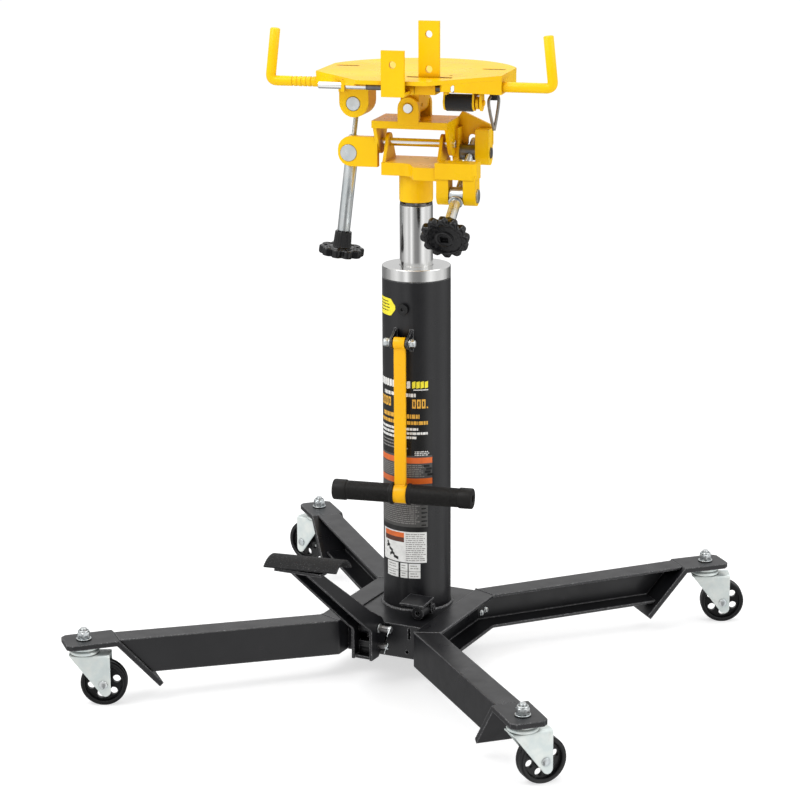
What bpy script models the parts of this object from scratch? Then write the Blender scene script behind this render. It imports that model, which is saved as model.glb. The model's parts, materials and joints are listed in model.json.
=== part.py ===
"""Telescopic two-stage transmission jack on a four-leg caster base.

World frame: origin on the floor at the middle of the footprint, +X to the right, -Y to the
front (pedal side), +Z up.  Every length below is in millimetres and measured from the axis of
the column, which stands COLUMN_Y behind the origin; MM turns millimetres into metres.
"""

import math

import bmesh
import bpy
from mathutils import Matrix, Vector

for old in list(bpy.data.objects):
    bpy.data.objects.remove(old, do_unlink=True)

MM = 0.001
GAP = 0.3

# Place of the column on the footprint, and the turn of the hydraulic unit (column, handle
# and head) on the base, seen from above.
COLUMN_Y = 31.0
UNIT_TURN = math.radians(11.0)

# Base rails: pressed channels that open outwards, mitred into the splayed legs.
RAIL_TOP = 90.6
RAIL_H = 55.0
RAIL_W = 38.0
RAIL_T = 5.0
RAIL_X = 62.7
FRONT_MITRE_Y = -144.0
REAR_MITRE_Y = 80.5
LEG_RUN = 340.0
LEG_RISE = math.tan(math.radians(1.7))

# Casters.
CASTER_X = 352.0
CASTER_FRONT_Y = -403.0
CASTER_REAR_Y = 339.5
PLATE_TOP = 100.6
PLATE_T = 8.0
WHEEL_R = 34.5
TRAIL = 28.0
SWIVEL_Z = 80.5

# Lifting column.
COLUMN_R = 52.0
COLUMN_TOP = 602.0
COLLAR_TOP = 620.0
RAM1_R = 25.0
RAM1_TOP = 711.0
RAM2_R = 18.6

# Head.
SHAFT_Z = 804.0
PIN_X = -1.5
PIN_Z = 860.0
SADDLE_TOP = 912.0
SADDLE_T = 6.0
SADDLE_HALF = 140.0
ARM_Y = -35.0
ARM_Z = 894.5
BAR_Y = -105.0
BAR_Z = 899.0

BASE = Matrix.Translation((0, COLUMN_Y, 0))
UNIT = BASE @ Matrix.Rotation(UNIT_TURN, 4, "Z")

BLACK = ((0.022, 0.022, 0.025), 0.0, 0.42)
YELLOW = ((0.86, 0.46, 0.01), 0.0, 0.35)
CHROME = ((0.78, 0.78, 0.78), 1.0, 0.12)
ZINC = ((0.62, 0.64, 0.62), 1.0, 0.35)
STEEL = ((0.45, 0.45, 0.46), 1.0, 0.35)
PLASTIC = ((0.012, 0.012, 0.013), 0.0, 0.30)
RUBBER = ((0.018, 0.018, 0.018), 0.0, 0.75)
WEBBING = ((0.010, 0.010, 0.011), 0.0, 0.9)


# ---------------------------------------------------------------- shapes
def circle(r, n, phase=0.0):
    """Points of a regular polygon on a circle, anticlockwise."""
    return [
        (r * math.cos(phase + math.tau * i / n), r * math.sin(phase + math.tau * i / n))
        for i in range(n)
    ]


def arc(cx, cy, r, start, end, n):
    """n+1 points of an arc in degrees."""
    steps = [math.radians(start + (end - start) * i / n) for i in range(n + 1)]
    return [(cx + r * math.cos(a), cy + r * math.sin(a)) for a in steps]


def loft(loops):
    """Closed skin through equal loops of 3-D points, capped at both ends."""
    n = len(loops[0])
    verts = [p for loop in loops for p in loop]
    faces = [list(range(n))[::-1], [(len(loops) - 1) * n + i for i in range(n)]]
    for k in range(len(loops) - 1):
        for i in range(n):
            j = (i + 1) % n
            faces.append([k * n + i, k * n + j, (k + 1) * n + j, (k + 1) * n + i])
    return verts, faces


def prism(outline, low, high):
    """Outline in the local XY plane, extruded from z=low to z=high."""
    return loft([[(x, y, z) for x, y in outline] for z in (low, high)])


def turned(profile, n=32):
    """Solid turned about the local Z axis from (radius, z) pairs, bottom to top."""
    return loft([[(x, y, z) for x, y in circle(r, n)] for r, z in profile])


def ring(profile, n=32):
    """Ring turned about the local Z axis from a closed (radius, z) section."""
    m = len(profile)
    verts = []
    for i in range(n):
        c, s = math.cos(math.tau * i / n), math.sin(math.tau * i / n)
        verts += [(r * c, r * s, z) for r, z in profile]
    faces = [
        [i * m + k, i * m + (k + 1) % m, (i + 1) % n * m + (k + 1) % m, (i + 1) % n * m + k]
        for i in range(n)
        for k in range(m)
    ]
    return verts, faces


def box(x0, x1, y0, y1, z0, z1):
    return prism([(x0, y0), (x1, y0), (x1, y1), (x0, y1)], z0, z1)


def wire(path, r, n=12):
    """Round bar along a polyline, mitred at the corners."""
    points = [Vector(p) for p in path]
    loops = []
    side = (points[1] - points[0]).cross(Vector((0.13, 0.21, 0.97)))
    if side.length < 1e-6:
        side = Vector((1.0, 0.0, 0.0))
    for i, p in enumerate(points):
        before = (p - points[i - 1]).normalized() if i else None
        after = (points[i + 1] - p).normalized() if i + 1 < len(points) else None
        along = (before or after) + (after or before)
        along.normalize()
        step = before or after
        side = (side - step * side.dot(step)).normalized()
        other = step.cross(side)
        loop = []
        for c, s in circle(1.0, n):
            offset = side * (c * r) + other * (s * r)
            offset -= step * (offset.dot(along) / step.dot(along))
            loop.append(tuple(p + offset))
        loops.append(loop)
    return loft(loops)


def bend(corner, start, end, r, n=5):
    """Points that round the corner between two straight runs of a bar."""
    c, a, b = Vector(corner), Vector(start), Vector(end)
    u, v = (a - c).normalized(), (b - c).normalized()
    half = math.acos(max(-1.0, min(1.0, u.dot(v)))) / 2
    reach = r / math.tan(half)
    middle = c + (u + v).normalized() * (r / math.sin(half))
    first, last = c + u * reach - middle, c + v * reach - middle
    sweep = first.angle(last)
    return [
        tuple(
            middle
            + (
                first * math.sin(sweep * (1 - i / n)) + last * math.sin(sweep * i / n)
            )
            / math.sin(sweep)
        )
        for i in range(n + 1)
    ]


def star(r, depth, lobes, per=4):
    """Hand-knob outline with round lobes."""
    n = lobes * per
    out = []
    for i in range(n):
        a = math.tau * i / n
        dip = (0.5 - 0.5 * math.cos(lobes * a)) ** 2.2
        out.append(((r - depth * dip) * math.cos(a), (r - depth * dip) * math.sin(a)))
    return out


def aimed(origin, direction, side=(0.0, 0.0, 1.0)):
    """Matrix that puts local Z along direction, with local X near side."""
    z = Vector(direction).normalized()
    x = Vector(side) - z * Vector(side).dot(z)
    if x.length < 1e-6:
        x = Vector((1.0, 0.0, 0.0)) - z * z.x
    x.normalize()
    y = z.cross(x)
    turn = Matrix((x, y, z)).transposed().to_4x4()
    return Matrix.Translation(Vector(origin)) @ turn


def put(shape, matrix):
    verts, faces = shape
    return [tuple(matrix @ Vector(v)) for v in verts], faces


def along_x(shape, x=0.0, y=0.0, z=0.0):
    """Local (X, Y, Z) laid on world (Y, Z, X)."""
    turn = Matrix(((0, 0, 1, x), (1, 0, 0, y), (0, 1, 0, z), (0, 0, 0, 1)))
    return put(shape, turn)


def along_y(shape, x=0.0, y=0.0, z=0.0):
    """Local (X, Y, Z) laid on world (X, Z, Y)."""
    turn = Matrix(((1, 0, 0, x), (0, 0, 1, y), (0, 1, 0, z), (0, 0, 0, 1)))
    return put(shape, turn)


def rod_x(r, x0, x1, y, z, n=24):
    return along_x(turned([(r, x0), (r, x1)], n), 0, y, z)


def rod_y(r, y0, y1, x, z, n=24):
    return along_y(turned([(r, y0), (r, y1)], n), x, 0, z)


def rod_z(r, z0, z1, x=0.0, y=0.0, n=24):
    return put(turned([(r, z0), (r, z1)], n), Matrix.Translation((x, y, 0)))


def lug_x(x0, x1, y, z, r, y0, y1, ztop, n=10):
    """Hanging or standing lug across X, rounded about the axis (y, z)."""
    if ztop > z:
        out = [(y1, ztop), (y0, ztop)] + arc(y, z, r, 180, 360, n)
    else:
        out = [(y0, ztop), (y1, ztop)] + arc(y, z, r, 0, 180, n)
    return along_x(prism(out, x0, x1))


def lug_y(y0, y1, x, z, r, x0, x1, ztop, n=10):
    """Hanging or standing lug across Y, rounded about the axis (x, z)."""
    if ztop > z:
        out = [(x1, ztop), (x0, ztop)] + arc(x, z, r, 180, 360, n)
    else:
        out = [(x0, ztop), (x1, ztop)] + arc(x, z, r, 0, 180, n)
    return along_y(prism(out, y0, y1))


# ---------------------------------------------------------------- objects
def smooth_by_angle(limit=0.6):
    """Modifier group that shades smooth except over edges sharper than the limit."""
    group = bpy.data.node_groups.new("smooth_by_angle", "GeometryNodeTree")
    group.interface.new_socket("Mesh", in_out="INPUT", socket_type="NodeSocketGeometry")
    group.interface.new_socket("Mesh", in_out="OUTPUT", socket_type="NodeSocketGeometry")
    nodes, links = group.nodes, group.links
    source, target = nodes.new("NodeGroupInput"), nodes.new("NodeGroupOutput")
    angle = nodes.new("GeometryNodeInputMeshEdgeAngle")
    below = nodes.new("FunctionNodeCompare")
    below.operation = "LESS_THAN"
    below.inputs[1].default_value = limit
    shade = nodes.new("GeometryNodeSetShadeSmooth")
    shade.domain = "EDGE"
    links.new(angle.outputs["Unsigned Angle"], below.inputs[0])
    links.new(below.outputs[0], shade.inputs["Shade Smooth"])
    links.new(source.outputs[0], shade.inputs["Geometry"])
    links.new(shade.outputs[0], target.inputs[0])
    return group


SHADING = smooth_by_angle()


def material(name, finish):
    colour, metallic, roughness = finish
    made = bpy.data.materials.new(name + "_finish")
    made.use_nodes = True
    shader = made.node_tree.nodes["Principled BSDF"]
    shader.inputs["Base Color"].default_value = (*colour, 1.0)
    shader.inputs["Metallic"].default_value = metallic
    shader.inputs["Roughness"].default_value = roughness
    made.diffuse_color = (*colour, 1.0)
    return made


def mesh_object(name, shape, frame, pivot):
    """Object whose origin is the pivot, in world axes."""
    verts, faces = shape
    origin = frame @ Vector(pivot)
    mesh = bpy.data.meshes.new(name)
    mesh.from_pydata([(frame @ Vector(v) - origin) * MM for v in verts], [], faces)
    work = bmesh.new()
    work.from_mesh(mesh)
    bmesh.ops.remove_doubles(work, verts=work.verts, dist=1e-6)
    bmesh.ops.recalc_face_normals(work, faces=work.faces)
    for face in work.faces:
        face.smooth = True
    for edge in work.edges:
        edge.smooth = len(edge.link_faces) == 2 and edge.calc_face_angle(0) < 0.6
    work.to_mesh(mesh)
    work.free()
    obj = bpy.data.objects.new(name, mesh)
    obj.location = origin * MM
    bpy.context.scene.collection.objects.link(obj)
    return obj


def solid(name, shape, finish, frame=UNIT, pivot=(0, 0, 0), add=(), cut=()):
    """One named sub-part: a shape with others welded on and openings cut out."""
    obj = mesh_object(name, shape, frame, pivot)
    obj.data.materials.append(material(name, finish))
    for kind, shapes in (("UNION", add), ("DIFFERENCE", cut)):
        for i, extra in enumerate(shapes):
            tool = mesh_object(f"{name}_{kind.lower()}_{i}", extra, frame, pivot)
            tool.hide_render = True
            tool.display_type = "WIRE"
            step = obj.modifiers.new(f"{kind.lower()}_{i}", "BOOLEAN")
            step.operation = kind
            step.solver = "EXACT"
            step.object = tool
    obj.modifiers.new("shading", "NODES").node_group = SHADING
    return obj


# ---------------------------------------------------------------- base
def channel_section():
    """(outward, up) outline of the rail, web towards the column."""
    w, h, t = RAIL_W, RAIL_H, RAIL_T
    return [(0, 0), (w, 0), (w, -t), (t, -t), (t, t - h), (w, t - h), (w, -h), (0, -h)]


def side_frame(name, side):
    """Middle rail with its front and rear legs, one mitred channel."""
    leg = Vector((1, 1)).normalized()
    mitre = math.tan(math.radians(22.5))
    slant = 50.0 / RAIL_H
    loops = []
    for sign, corner_y in ((-1, FRONT_MITRE_Y), (1, REAR_MITRE_Y)):
        run = Vector((leg.x, sign * leg.x))
        out = Vector((leg.x, -sign * leg.x))
        end = []
        corner = []
        for u, v in channel_section():
            s = LEG_RUN + slant * v
            x = RAIL_X + run.x * s + out.x * u
            y = corner_y + run.y * s + out.y * u
            end.append((side * x, y, RAIL_TOP + LEG_RISE * s + v))
            corner.append((side * (RAIL_X + u), corner_y - sign * mitre * u, RAIL_TOP + v))
        loops += [end, corner] if sign < 0 else [corner, end]
    return solid(name, loft(loops), BLACK, BASE)


side_frame("side_frame_left", -1)
side_frame("side_frame_right", 1)

# Tray between the rails: top plate with front and rear walls.
TRAY_X = RAIL_X - GAP
TRAY_FRONT = -115.0
TRAY_TOP = 88.0
TRAY_T = 4.0
PEDAL_X = -12.7
PIVOT_Y = -143.0
PIVOT_Z = 88.0
LINK_Z = 60.0
front_wall = (TRAY_FRONT - 1, TRAY_FRONT + TRAY_T + 1)
solid(
    "base_tray",
    box(-TRAY_X, TRAY_X, TRAY_FRONT, REAR_MITRE_Y, 35.5, TRAY_TOP),
    BLACK,
    BASE,
    cut=[
        box(
            -TRAY_X - 1,
            TRAY_X + 1,
            TRAY_FRONT + TRAY_T,
            REAR_MITRE_Y - TRAY_T,
            30,
            TRAY_TOP - TRAY_T,
        ),
        rod_z(COLUMN_R + 2 * GAP, 60, 90, n=40),
        box(PEDAL_X - 16, PEDAL_X + 16, *front_wall, 42, 81),
        box(39.5, 43, *front_wall, 66, 84),
        rod_y(2.8, *front_wall, 37.5, 45.6, 12),
    ],
)


def leg_frame(sx, sy):
    """Matrix with local X outwards along the leg and local Z up, on the caster axis."""
    y = CASTER_FRONT_Y if sy < 0 else CASTER_REAR_Y
    turn = math.atan2(sy, sx)
    return Matrix.Translation((sx * CASTER_X, y, 0)) @ Matrix.Rotation(turn, 4, "Z")


def caster(tag, sx, sy, trail_angle, hole_phase):
    """End plate, stem, fork and wheel at one leg end."""
    leg = leg_frame(sx, sy)
    bend_s, drop = -47.7 + GAP, 98.0
    face = Vector((-50.0, -RAIL_H - 50.0 * LEG_RISE)).normalized()
    off = Vector((-face.y, face.x)) * PLATE_T
    low = Vector((bend_s, PLATE_TOP)) + face * drop
    t = (off.y + PLATE_T) / -face.y
    inner = Vector((bend_s, PLATE_TOP)) + off + face * t
    section = [(30.0, PLATE_TOP), (bend_s, PLATE_TOP), tuple(low), tuple(low + off)]
    section += [tuple(inner), (30.0, PLATE_TOP - PLATE_T)]
    plate = along_y(prism(section, -27, 27))
    clip = put(box(-12, 12, -12, 12, 80, 110), Matrix.Rotation(math.pi / 4, 4, "Z"))
    corners = [put(clip, Matrix.Translation((35.0, k * 32.0, 0))) for k in (-1, 1)]
    solid(
        "leg_plate_" + tag,
        plate,
        BLACK,
        BASE @ leg,
        cut=[rod_z(6.4, 85, 110, n=20)] + corners,
    )
    washer_top = PLATE_TOP + 2.4
    stem = turned([(9, 74.9), (9, 76.9), (6, 77), (6, 112), (5, 113), (5, 117.5), (4, 118.5)], 14)
    nut = turned([(9.8, washer_top - 0.2), (9.8, washer_top + 9.5)], 6)
    nut_collar = rod_z(8.3, washer_top + 9, washer_top + 12, n=16)
    washer = rod_z(11.3, PLATE_TOP + GAP, washer_top, n=18)
    solid("caster_stem_" + tag, stem, ZINC, BASE @ leg, add=[washer, nut, nut_collar])

    at = leg @ Matrix.Rotation(-math.atan2(sy, sx), 4, "Z")
    swivel = at @ Matrix.Rotation(math.radians(trail_angle), 4, "Z")
    crown = turned([(21, 77.8), (22.5, 83.5), (20, 85.5), (20, 87), (21.8, 88), (21, 92.3)], 20)
    cheek = [(-20, 78), (-20, SWIVEL_Z), (39, SWIVEL_Z), (39, 27)]
    cheek += arc(31, 24, 8, -10, -150, 5)
    cheeks = [along_y(prism(cheek, y, y + 2.5)) for y in (-16.0, 13.5)]
    deck = box(-22, 38.8, -15.8, 15.8, 77.4, SWIVEL_Z + 0.1)
    axle = rod_y(5, -19, 19, TRAIL, WHEEL_R, 12)
    solid(
        "caster_fork_" + tag,
        crown,
        ZINC,
        BASE @ swivel,
        add=[deck, *cheeks, axle],
        cut=[rod_z(6.4, 70, 95, n=14)],
    )
    half = [(5.4, 12.5), (10, 12.5), (11.5, 8), (27.5, 8), (28.5, 10), (33.5, 10), (WHEEL_R, 8.5)]
    section = [(r, -z) for r, z in half] + [(r, z) for r, z in reversed(half)]
    wheel = along_y(ring(section, 24), TRAIL, 0, WHEEL_R)
    holes = []
    for x, z in circle(19.5, 6, math.radians(hole_phase)):
        holes.append(rod_y(6, -20, 20, TRAIL + x, WHEEL_R + z, 10))
    solid(
        "caster_wheel_" + tag,
        wheel,
        PLASTIC,
        BASE @ swivel,
        pivot=(TRAIL, 0, WHEEL_R),
        cut=holes,
    )


caster("fl", -1, -1, 26.0, 15.0)
caster("fr", 1, -1, 48.0, 15.0)
caster("rl", -1, 1, 165.5, 15.0)
caster("rr", 1, 1, 26.0, 35.0)

# ---------------------------------------------------------------- column
HANDLE_X = -7.0
HANDLE_Y = -72.0
HANDLE_Z = 514.0
PLUG_Z = 561.5
plug_turn = Matrix.Rotation(math.radians(-6.4), 4, "Z")
ears = [
    along_x(
        prism(
            [(root, HANDLE_Z - 18), *arc(HANDLE_Y, HANDLE_Z, 9, 270, 90, 6), (root, HANDLE_Z + 18)],
            x,
            x + 3.5,
        )
    )
    for x, root in ((HANDLE_X - 14.3, -46.5), (HANDLE_X + 10.8, -48.5))
]
solid(
    "reservoir",
    ring([(47, 42), (COLUMN_R, 42), (COLUMN_R, COLUMN_TOP), (47, COLUMN_TOP)], 40),
    BLACK,
    add=[rod_z(49, 43, 52, n=40), *ears],
    cut=[
        rod_x(5.3, HANDLE_X - 20, HANDLE_X + 20, HANDLE_Y, HANDLE_Z, 16),
        put(rod_y(4.8, -60, -40, 0, PLUG_Z, 16), plug_turn),
    ],
)
solid(
    "lift_cylinder",
    ring([(26.5, 54), (31, 54), (31, COLUMN_TOP - 3), (26.5, COLUMN_TOP - 3)], 28),
    STEEL,
    add=[rod_z(29, 52.4, 58, n=28)],
)
collar_bore = RAM1_R + 0.4
section = [(collar_bore, COLUMN_TOP - 2), (46.5, COLUMN_TOP - 2), (46.5, COLUMN_TOP + GAP)]
section += [(COLUMN_R, COLUMN_TOP + GAP), (COLUMN_R, COLLAR_TOP - 1), (COLUMN_R - 1, COLLAR_TOP)]
section += [(collar_bore, COLLAR_TOP)]
solid("column_collar", ring(section, 40), CHROME)
solid(
    "ram_first_stage",
    ring([(19, 62), (RAM1_R, 62), (RAM1_R, RAM1_TOP), (19, RAM1_TOP)], 28),
    CHROME,
    add=[rod_z(26.1, 60, 72, n=28)],
)
solid(
    "ram_second_stage",
    turned([(RAM2_R, 74), (RAM2_R, 744), (RAM2_R - 1.5, 746)], 28),
    CHROME,
)
notches = [
    put(box(17, 30, -3, 3, 713.6, 717), Matrix.Rotation(math.tau * (i + 0.3) / 8, 4, "Z"))
    for i in range(8)
]
solid(
    "ram_gland",
    ring([(19, 711.3), (24.6, 711.3), (24.6, 715.7), (19, 715.7)], 28),
    STEEL,
    cut=notches,
)
solid(
    "filler_plug",
    put(rod_y(8, -58.5, -52.4, 0, PLUG_Z, 24), plug_turn),
    PLASTIC,
    add=[put(rod_y(4.4, -54, -44, 0, PLUG_Z, 16), plug_turn)],
    cut=[put(rod_y(3.2, -60, -55.5, 0, PLUG_Z, 6), plug_turn)],
)

# ---------------------------------------------------------------- lifting handle
solid(
    "handle_pin",
    rod_x(5, HANDLE_X - 24, HANDLE_X + 24, HANDLE_Y, HANDLE_Z, 16),
    ZINC,
    pivot=(HANDLE_X, HANDLE_Y, HANDLE_Z),
    add=[
        rod_x(6.8, HANDLE_X + 14.6, HANDLE_X + 25, HANDLE_Y, HANDLE_Z, 20),
        rod_x(6.8, HANDLE_X - 24.6, HANDLE_X - 14.6, HANDLE_Y, HANDLE_Z, 20),
    ],
)
GRIP_Z = 280.5
GRIP_X = -3.0
solid(
    "handle_arm",
    box(HANDLE_X - 8.8, HANDLE_X + 8.8, HANDLE_Y - 4, HANDLE_Y + 4, GRIP_Z + 11.7, HANDLE_Z),
    YELLOW,
    pivot=(HANDLE_X, HANDLE_Y, HANDLE_Z),
    add=[
        rod_x(8.7, HANDLE_X - 9, HANDLE_X + 9, HANDLE_Y, HANDLE_Z, 20),
        rod_x(14.5, HANDLE_X - 9.2, HANDLE_X + 11.4, HANDLE_Y, GRIP_Z, 24),
        rod_x(11, GRIP_X - 105, GRIP_X + 105, HANDLE_Y, GRIP_Z, 20),
    ],
    cut=[
        rod_x(5.3, HANDLE_X - 20, HANDLE_X + 20, HANDLE_Y, HANDLE_Z, 16),
        rod_x(8.5, GRIP_X - 120, GRIP_X + 120, HANDLE_Y, GRIP_Z, 14),
    ],
)


def grip(name, inner, outer):
    """Ribbed sleeve with a flange by the arm and a smooth band at its end."""
    way = 1 if outer > inner else -1
    mouth, stop = 11.4, abs(outer - inner)
    outline = [(mouth, 0), (16.5, 0), (16.5, 5), (14.6, 6.5)]
    outline += [(14.6, stop - 21), (15.8, stop - 20), (15.8, stop - 2), (14, stop)]
    outline += [(6, stop), (6, stop - 2.4), (mouth, stop - 2.4)]
    if way < 0:
        outline = [(r, -z) for r, z in outline]
    shape = along_x(ring(outline, 20), inner, HANDLE_Y, GRIP_Z)
    solid(name, shape, RUBBER)


grip("grip_left", HANDLE_X - 9.2 - GAP, GRIP_X - 108.7)
grip("grip_right", HANDLE_X + 11.4 + GAP, GRIP_X + 108.7)

# ---------------------------------------------------------------- foot pump
nose = [(-106, 64), (-106, 80), (-126, 80)]
nose += arc(PIVOT_Y, PIVOT_Z, 10, 20, 270, 10) + [(-126, 76), (-120, 64)]
solid(
    "pump_block",
    box(PEDAL_X - 24, PEDAL_X + 24, -110.5, -62, 44, 76),
    BLACK,
    BASE,
    add=[
        rod_y(13, -119.5, -108, PEDAL_X, LINK_Z, 20),
        along_x(prism(nose, PEDAL_X - 12.2, PEDAL_X + 12.2)),
    ],
    cut=[
        rod_y(7.4, -125, -76, PEDAL_X, LINK_Z, 16),
        rod_x(5.4, PEDAL_X - 30, PEDAL_X + 30, PIVOT_Y, PIVOT_Z, 16),
    ],
)
solid(
    "pump_plunger",
    rod_y(7, -136, -88, PEDAL_X, LINK_Z, 16),
    BLACK,
    BASE,
    pivot=(PEDAL_X, PIVOT_Y, LINK_Z),
    add=[rod_x(10, PEDAL_X - 12, PEDAL_X + 12, PIVOT_Y, LINK_Z, 16)],
    cut=[
        rod_x(4.5, PEDAL_X - 20, PEDAL_X + 20, PIVOT_Y, LINK_Z - 0.1, 12),
        rod_x(4.5, PEDAL_X - 20, PEDAL_X + 20, PIVOT_Y, LINK_Z + 2.0, 12),
    ],
)


def trough(width, depth, t=4.2):
    """Channel outline across the arm: back web first, open side towards the front."""
    w = width / 2
    inner = [(w - t, depth), (w - t, t), (t - w, t), (t - w, depth)]
    return [(-w, 0), (w, 0), (w, depth), *inner, (-w, depth)]


def arm_station(width, depth, back, forward):
    """Channel section at one place along the arm, from its back edge."""
    d = Vector(forward).normalized()
    return [(PEDAL_X + a, back[0] + d.x * b, back[1] + d.y * b) for a, b in trough(width, depth)]


pedal_loops = [
    arm_station(34, 23, (-144, 43), (-1.0, 0.0)),
    arm_station(34, 44.5, (-122.5, 63), (-1.0, 0.0)),
    arm_station(34, 46, (-121, 88), (-1.0, 0.0)),
    arm_station(34, 40, (-131, 102), (-0.97, -0.24)),
    arm_station(33, 27, (-169, 124), (-0.5, -0.86)),
    arm_station(28, 15, (-352, 249), (-0.58, -0.81)),
]
solid(
    "pedal_arm",
    loft(pedal_loops),
    BLACK,
    BASE,
    pivot=(PEDAL_X, PIVOT_Y, PIVOT_Z),
    add=[
        box(PEDAL_X - 37, PEDAL_X + 38, -366, -347, 238, 242.5),
        box(PEDAL_X - 14, PEDAL_X + 14, -164, -151, 43.5, 48),
    ],
    cut=[
        rod_x(5.4, PEDAL_X - 30, PEDAL_X + 30, PIVOT_Y, PIVOT_Z, 16),
        rod_x(4.3, PEDAL_X - 30, PEDAL_X + 30, PIVOT_Y, LINK_Z, 12),
        box(PEDAL_X - 12.8, PEDAL_X + 12.8, -150, -112, 38, 86),
    ],
)
PAD = Matrix.Translation((-7.0, -343.0, 256.0)) @ Matrix.Rotation(math.radians(8), 4, "Z")
pad_r, pad_t = 50.0, 3.6
outer = arc(-2.0, -pad_r + 1.0, pad_r, 124, 38, 12)
inner_arc = arc(-2.0, -pad_r + 1.0, pad_r - pad_t, 38, 124, 12)
solid(
    "pedal_pad",
    put(along_x(prism(outer + inner_arc, -53, 53)), PAD),
    RUBBER,
    BASE,
    pivot=(PEDAL_X, PIVOT_Y, PIVOT_Z),
)
for label, z, r, reach in (("pivot", PIVOT_Z, 5.1, 38.0), ("link", LINK_Z, 4.0, 33.0)):
    x = PEDAL_X + reach - 5.0
    clip = [(x, PIVOT_Y + 4, z + 10), (x, PIVOT_Y, z - 2), (x, PIVOT_Y - 8, z - 12)]
    solid(
        f"pedal_{label}_pin",
        rod_x(r, PEDAL_X - 21.5, PEDAL_X + reach, PIVOT_Y, z, 16),
        ZINC,
        BASE,
        pivot=(PEDAL_X, PIVOT_Y, z),
        add=[
            rod_x(r + 3.6, PEDAL_X - 19.8, PEDAL_X - 17.6, PIVOT_Y, z, 16),
            rod_x(r + 2.2, PEDAL_X + 17.4, PEDAL_X + 19.4, PIVOT_Y, z, 16),
            wire(clip, 1.4, 6),
        ],
    )

# Release valve with its foot lever, in front of the column.
VALVE_X, VALVE_Z = 41.5, 98.5
solid(
    "release_valve",
    rod_y(10.0, -86, -62.6, VALVE_X, VALVE_Z, 20),
    BLACK,
    BASE,
    add=[
        rod_y(6.5, -64, -49.5, VALVE_X, VALVE_Z, 16),
        rod_x(4, VALVE_X - 14, VALVE_X + 14, -55, VALVE_Z, 12),
    ],
    cut=[rod_y(4.0, -90, -80, VALVE_X, VALVE_Z, 6)],
)
solid(
    "release_pedal",
    put(
        box(-20, 20, -19, 19, 0, 3.5),
        Matrix.Translation((37.5, -80, 114.5)) @ Matrix.Rotation(math.radians(5), 4, "X"),
    ),
    BLACK,
    BASE,
    pivot=(VALVE_X, -55, VALVE_Z),
    add=[
        box(VALVE_X - 12.5, VALVE_X + 11.6, -61.7, -57.9, 105.6, 117),
        lug_x(VALVE_X - 12.7, VALVE_X - 8.5, -55, VALVE_Z, 7.2, -61.3, -50, 106),
        lug_x(VALVE_X + 7.6, VALVE_X + 11.8, -55, VALVE_Z, 7.2, -61.3, -50, 106),
    ],
    cut=[rod_x(4.3, VALVE_X - 20, VALVE_X + 20, -55, VALVE_Z, 12)],
)

# ---------------------------------------------------------------- lower yoke
CLEVIS_Y, CLEVIS_Z = -58.0, 737.0
SCREW_X = 78.0
NUT_Y, NUT_Z = 25.0, 788.4
plan = [(-44, 36), (-44, -36), (-14, -36)] + arc(-14, -56, 20, 90, 25, 4)[1:]
plan += [(14, -70), (22, -72), (60, -72), (60, -46), (46, -36), (44, 36)]
wall = [(-36, 768), (36, 768), *arc(0, SHAFT_Z, 14, 0, 180, 8)]
solid(
    "lower_yoke",
    prism(plan, 759, 778),
    YELLOW,
    add=[
        turned([(22.5, 716), (24.8, 717), (25.5, 719.5), (25.5, 761)], 40),
        prism([(47, -74), (104, -74), (109, -69), (109, -44), (47, -44)], 762, 786),
        lug_x(49, 67, CLEVIS_Y, CLEVIS_Z, 14.5, CLEVIS_Y - 14.5, CLEVIS_Y + 12, 768),
        lug_x(89, 107.6, CLEVIS_Y, CLEVIS_Z, 14.5, CLEVIS_Y - 14.5, CLEVIS_Y + 12, 768),
        *[along_x(prism(wall, x, x + 5)) for x in (-44, 39)],
    ],
    cut=[
        rod_z(RAM2_R + GAP, 700, 748, n=32),
        rod_x(6.4, -60, 60, 0, SHAFT_Z, 20),
        rod_x(10.4, 40, 120, CLEVIS_Y, CLEVIS_Z, 24),
        box(67, 89, CLEVIS_Y - 14, CLEVIS_Y + 26, 755, 764),
    ],
)
screw_dir = Vector((0.0, CLEVIS_Y - NUT_Y, CLEVIS_Z - NUT_Z)).normalized()
front_axis = aimed((SCREW_X, CLEVIS_Y, CLEVIS_Z), screw_dir, (1, 0, 0))
span = math.hypot(CLEVIS_Y - NUT_Y, CLEVIS_Z - NUT_Z)

solid(
    "tilt_shaft",
    rod_x(6.1, -61, 61, 0, SHAFT_Z, 20),
    CHROME,
    pivot=(0, 0, SHAFT_Z),
)

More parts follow.
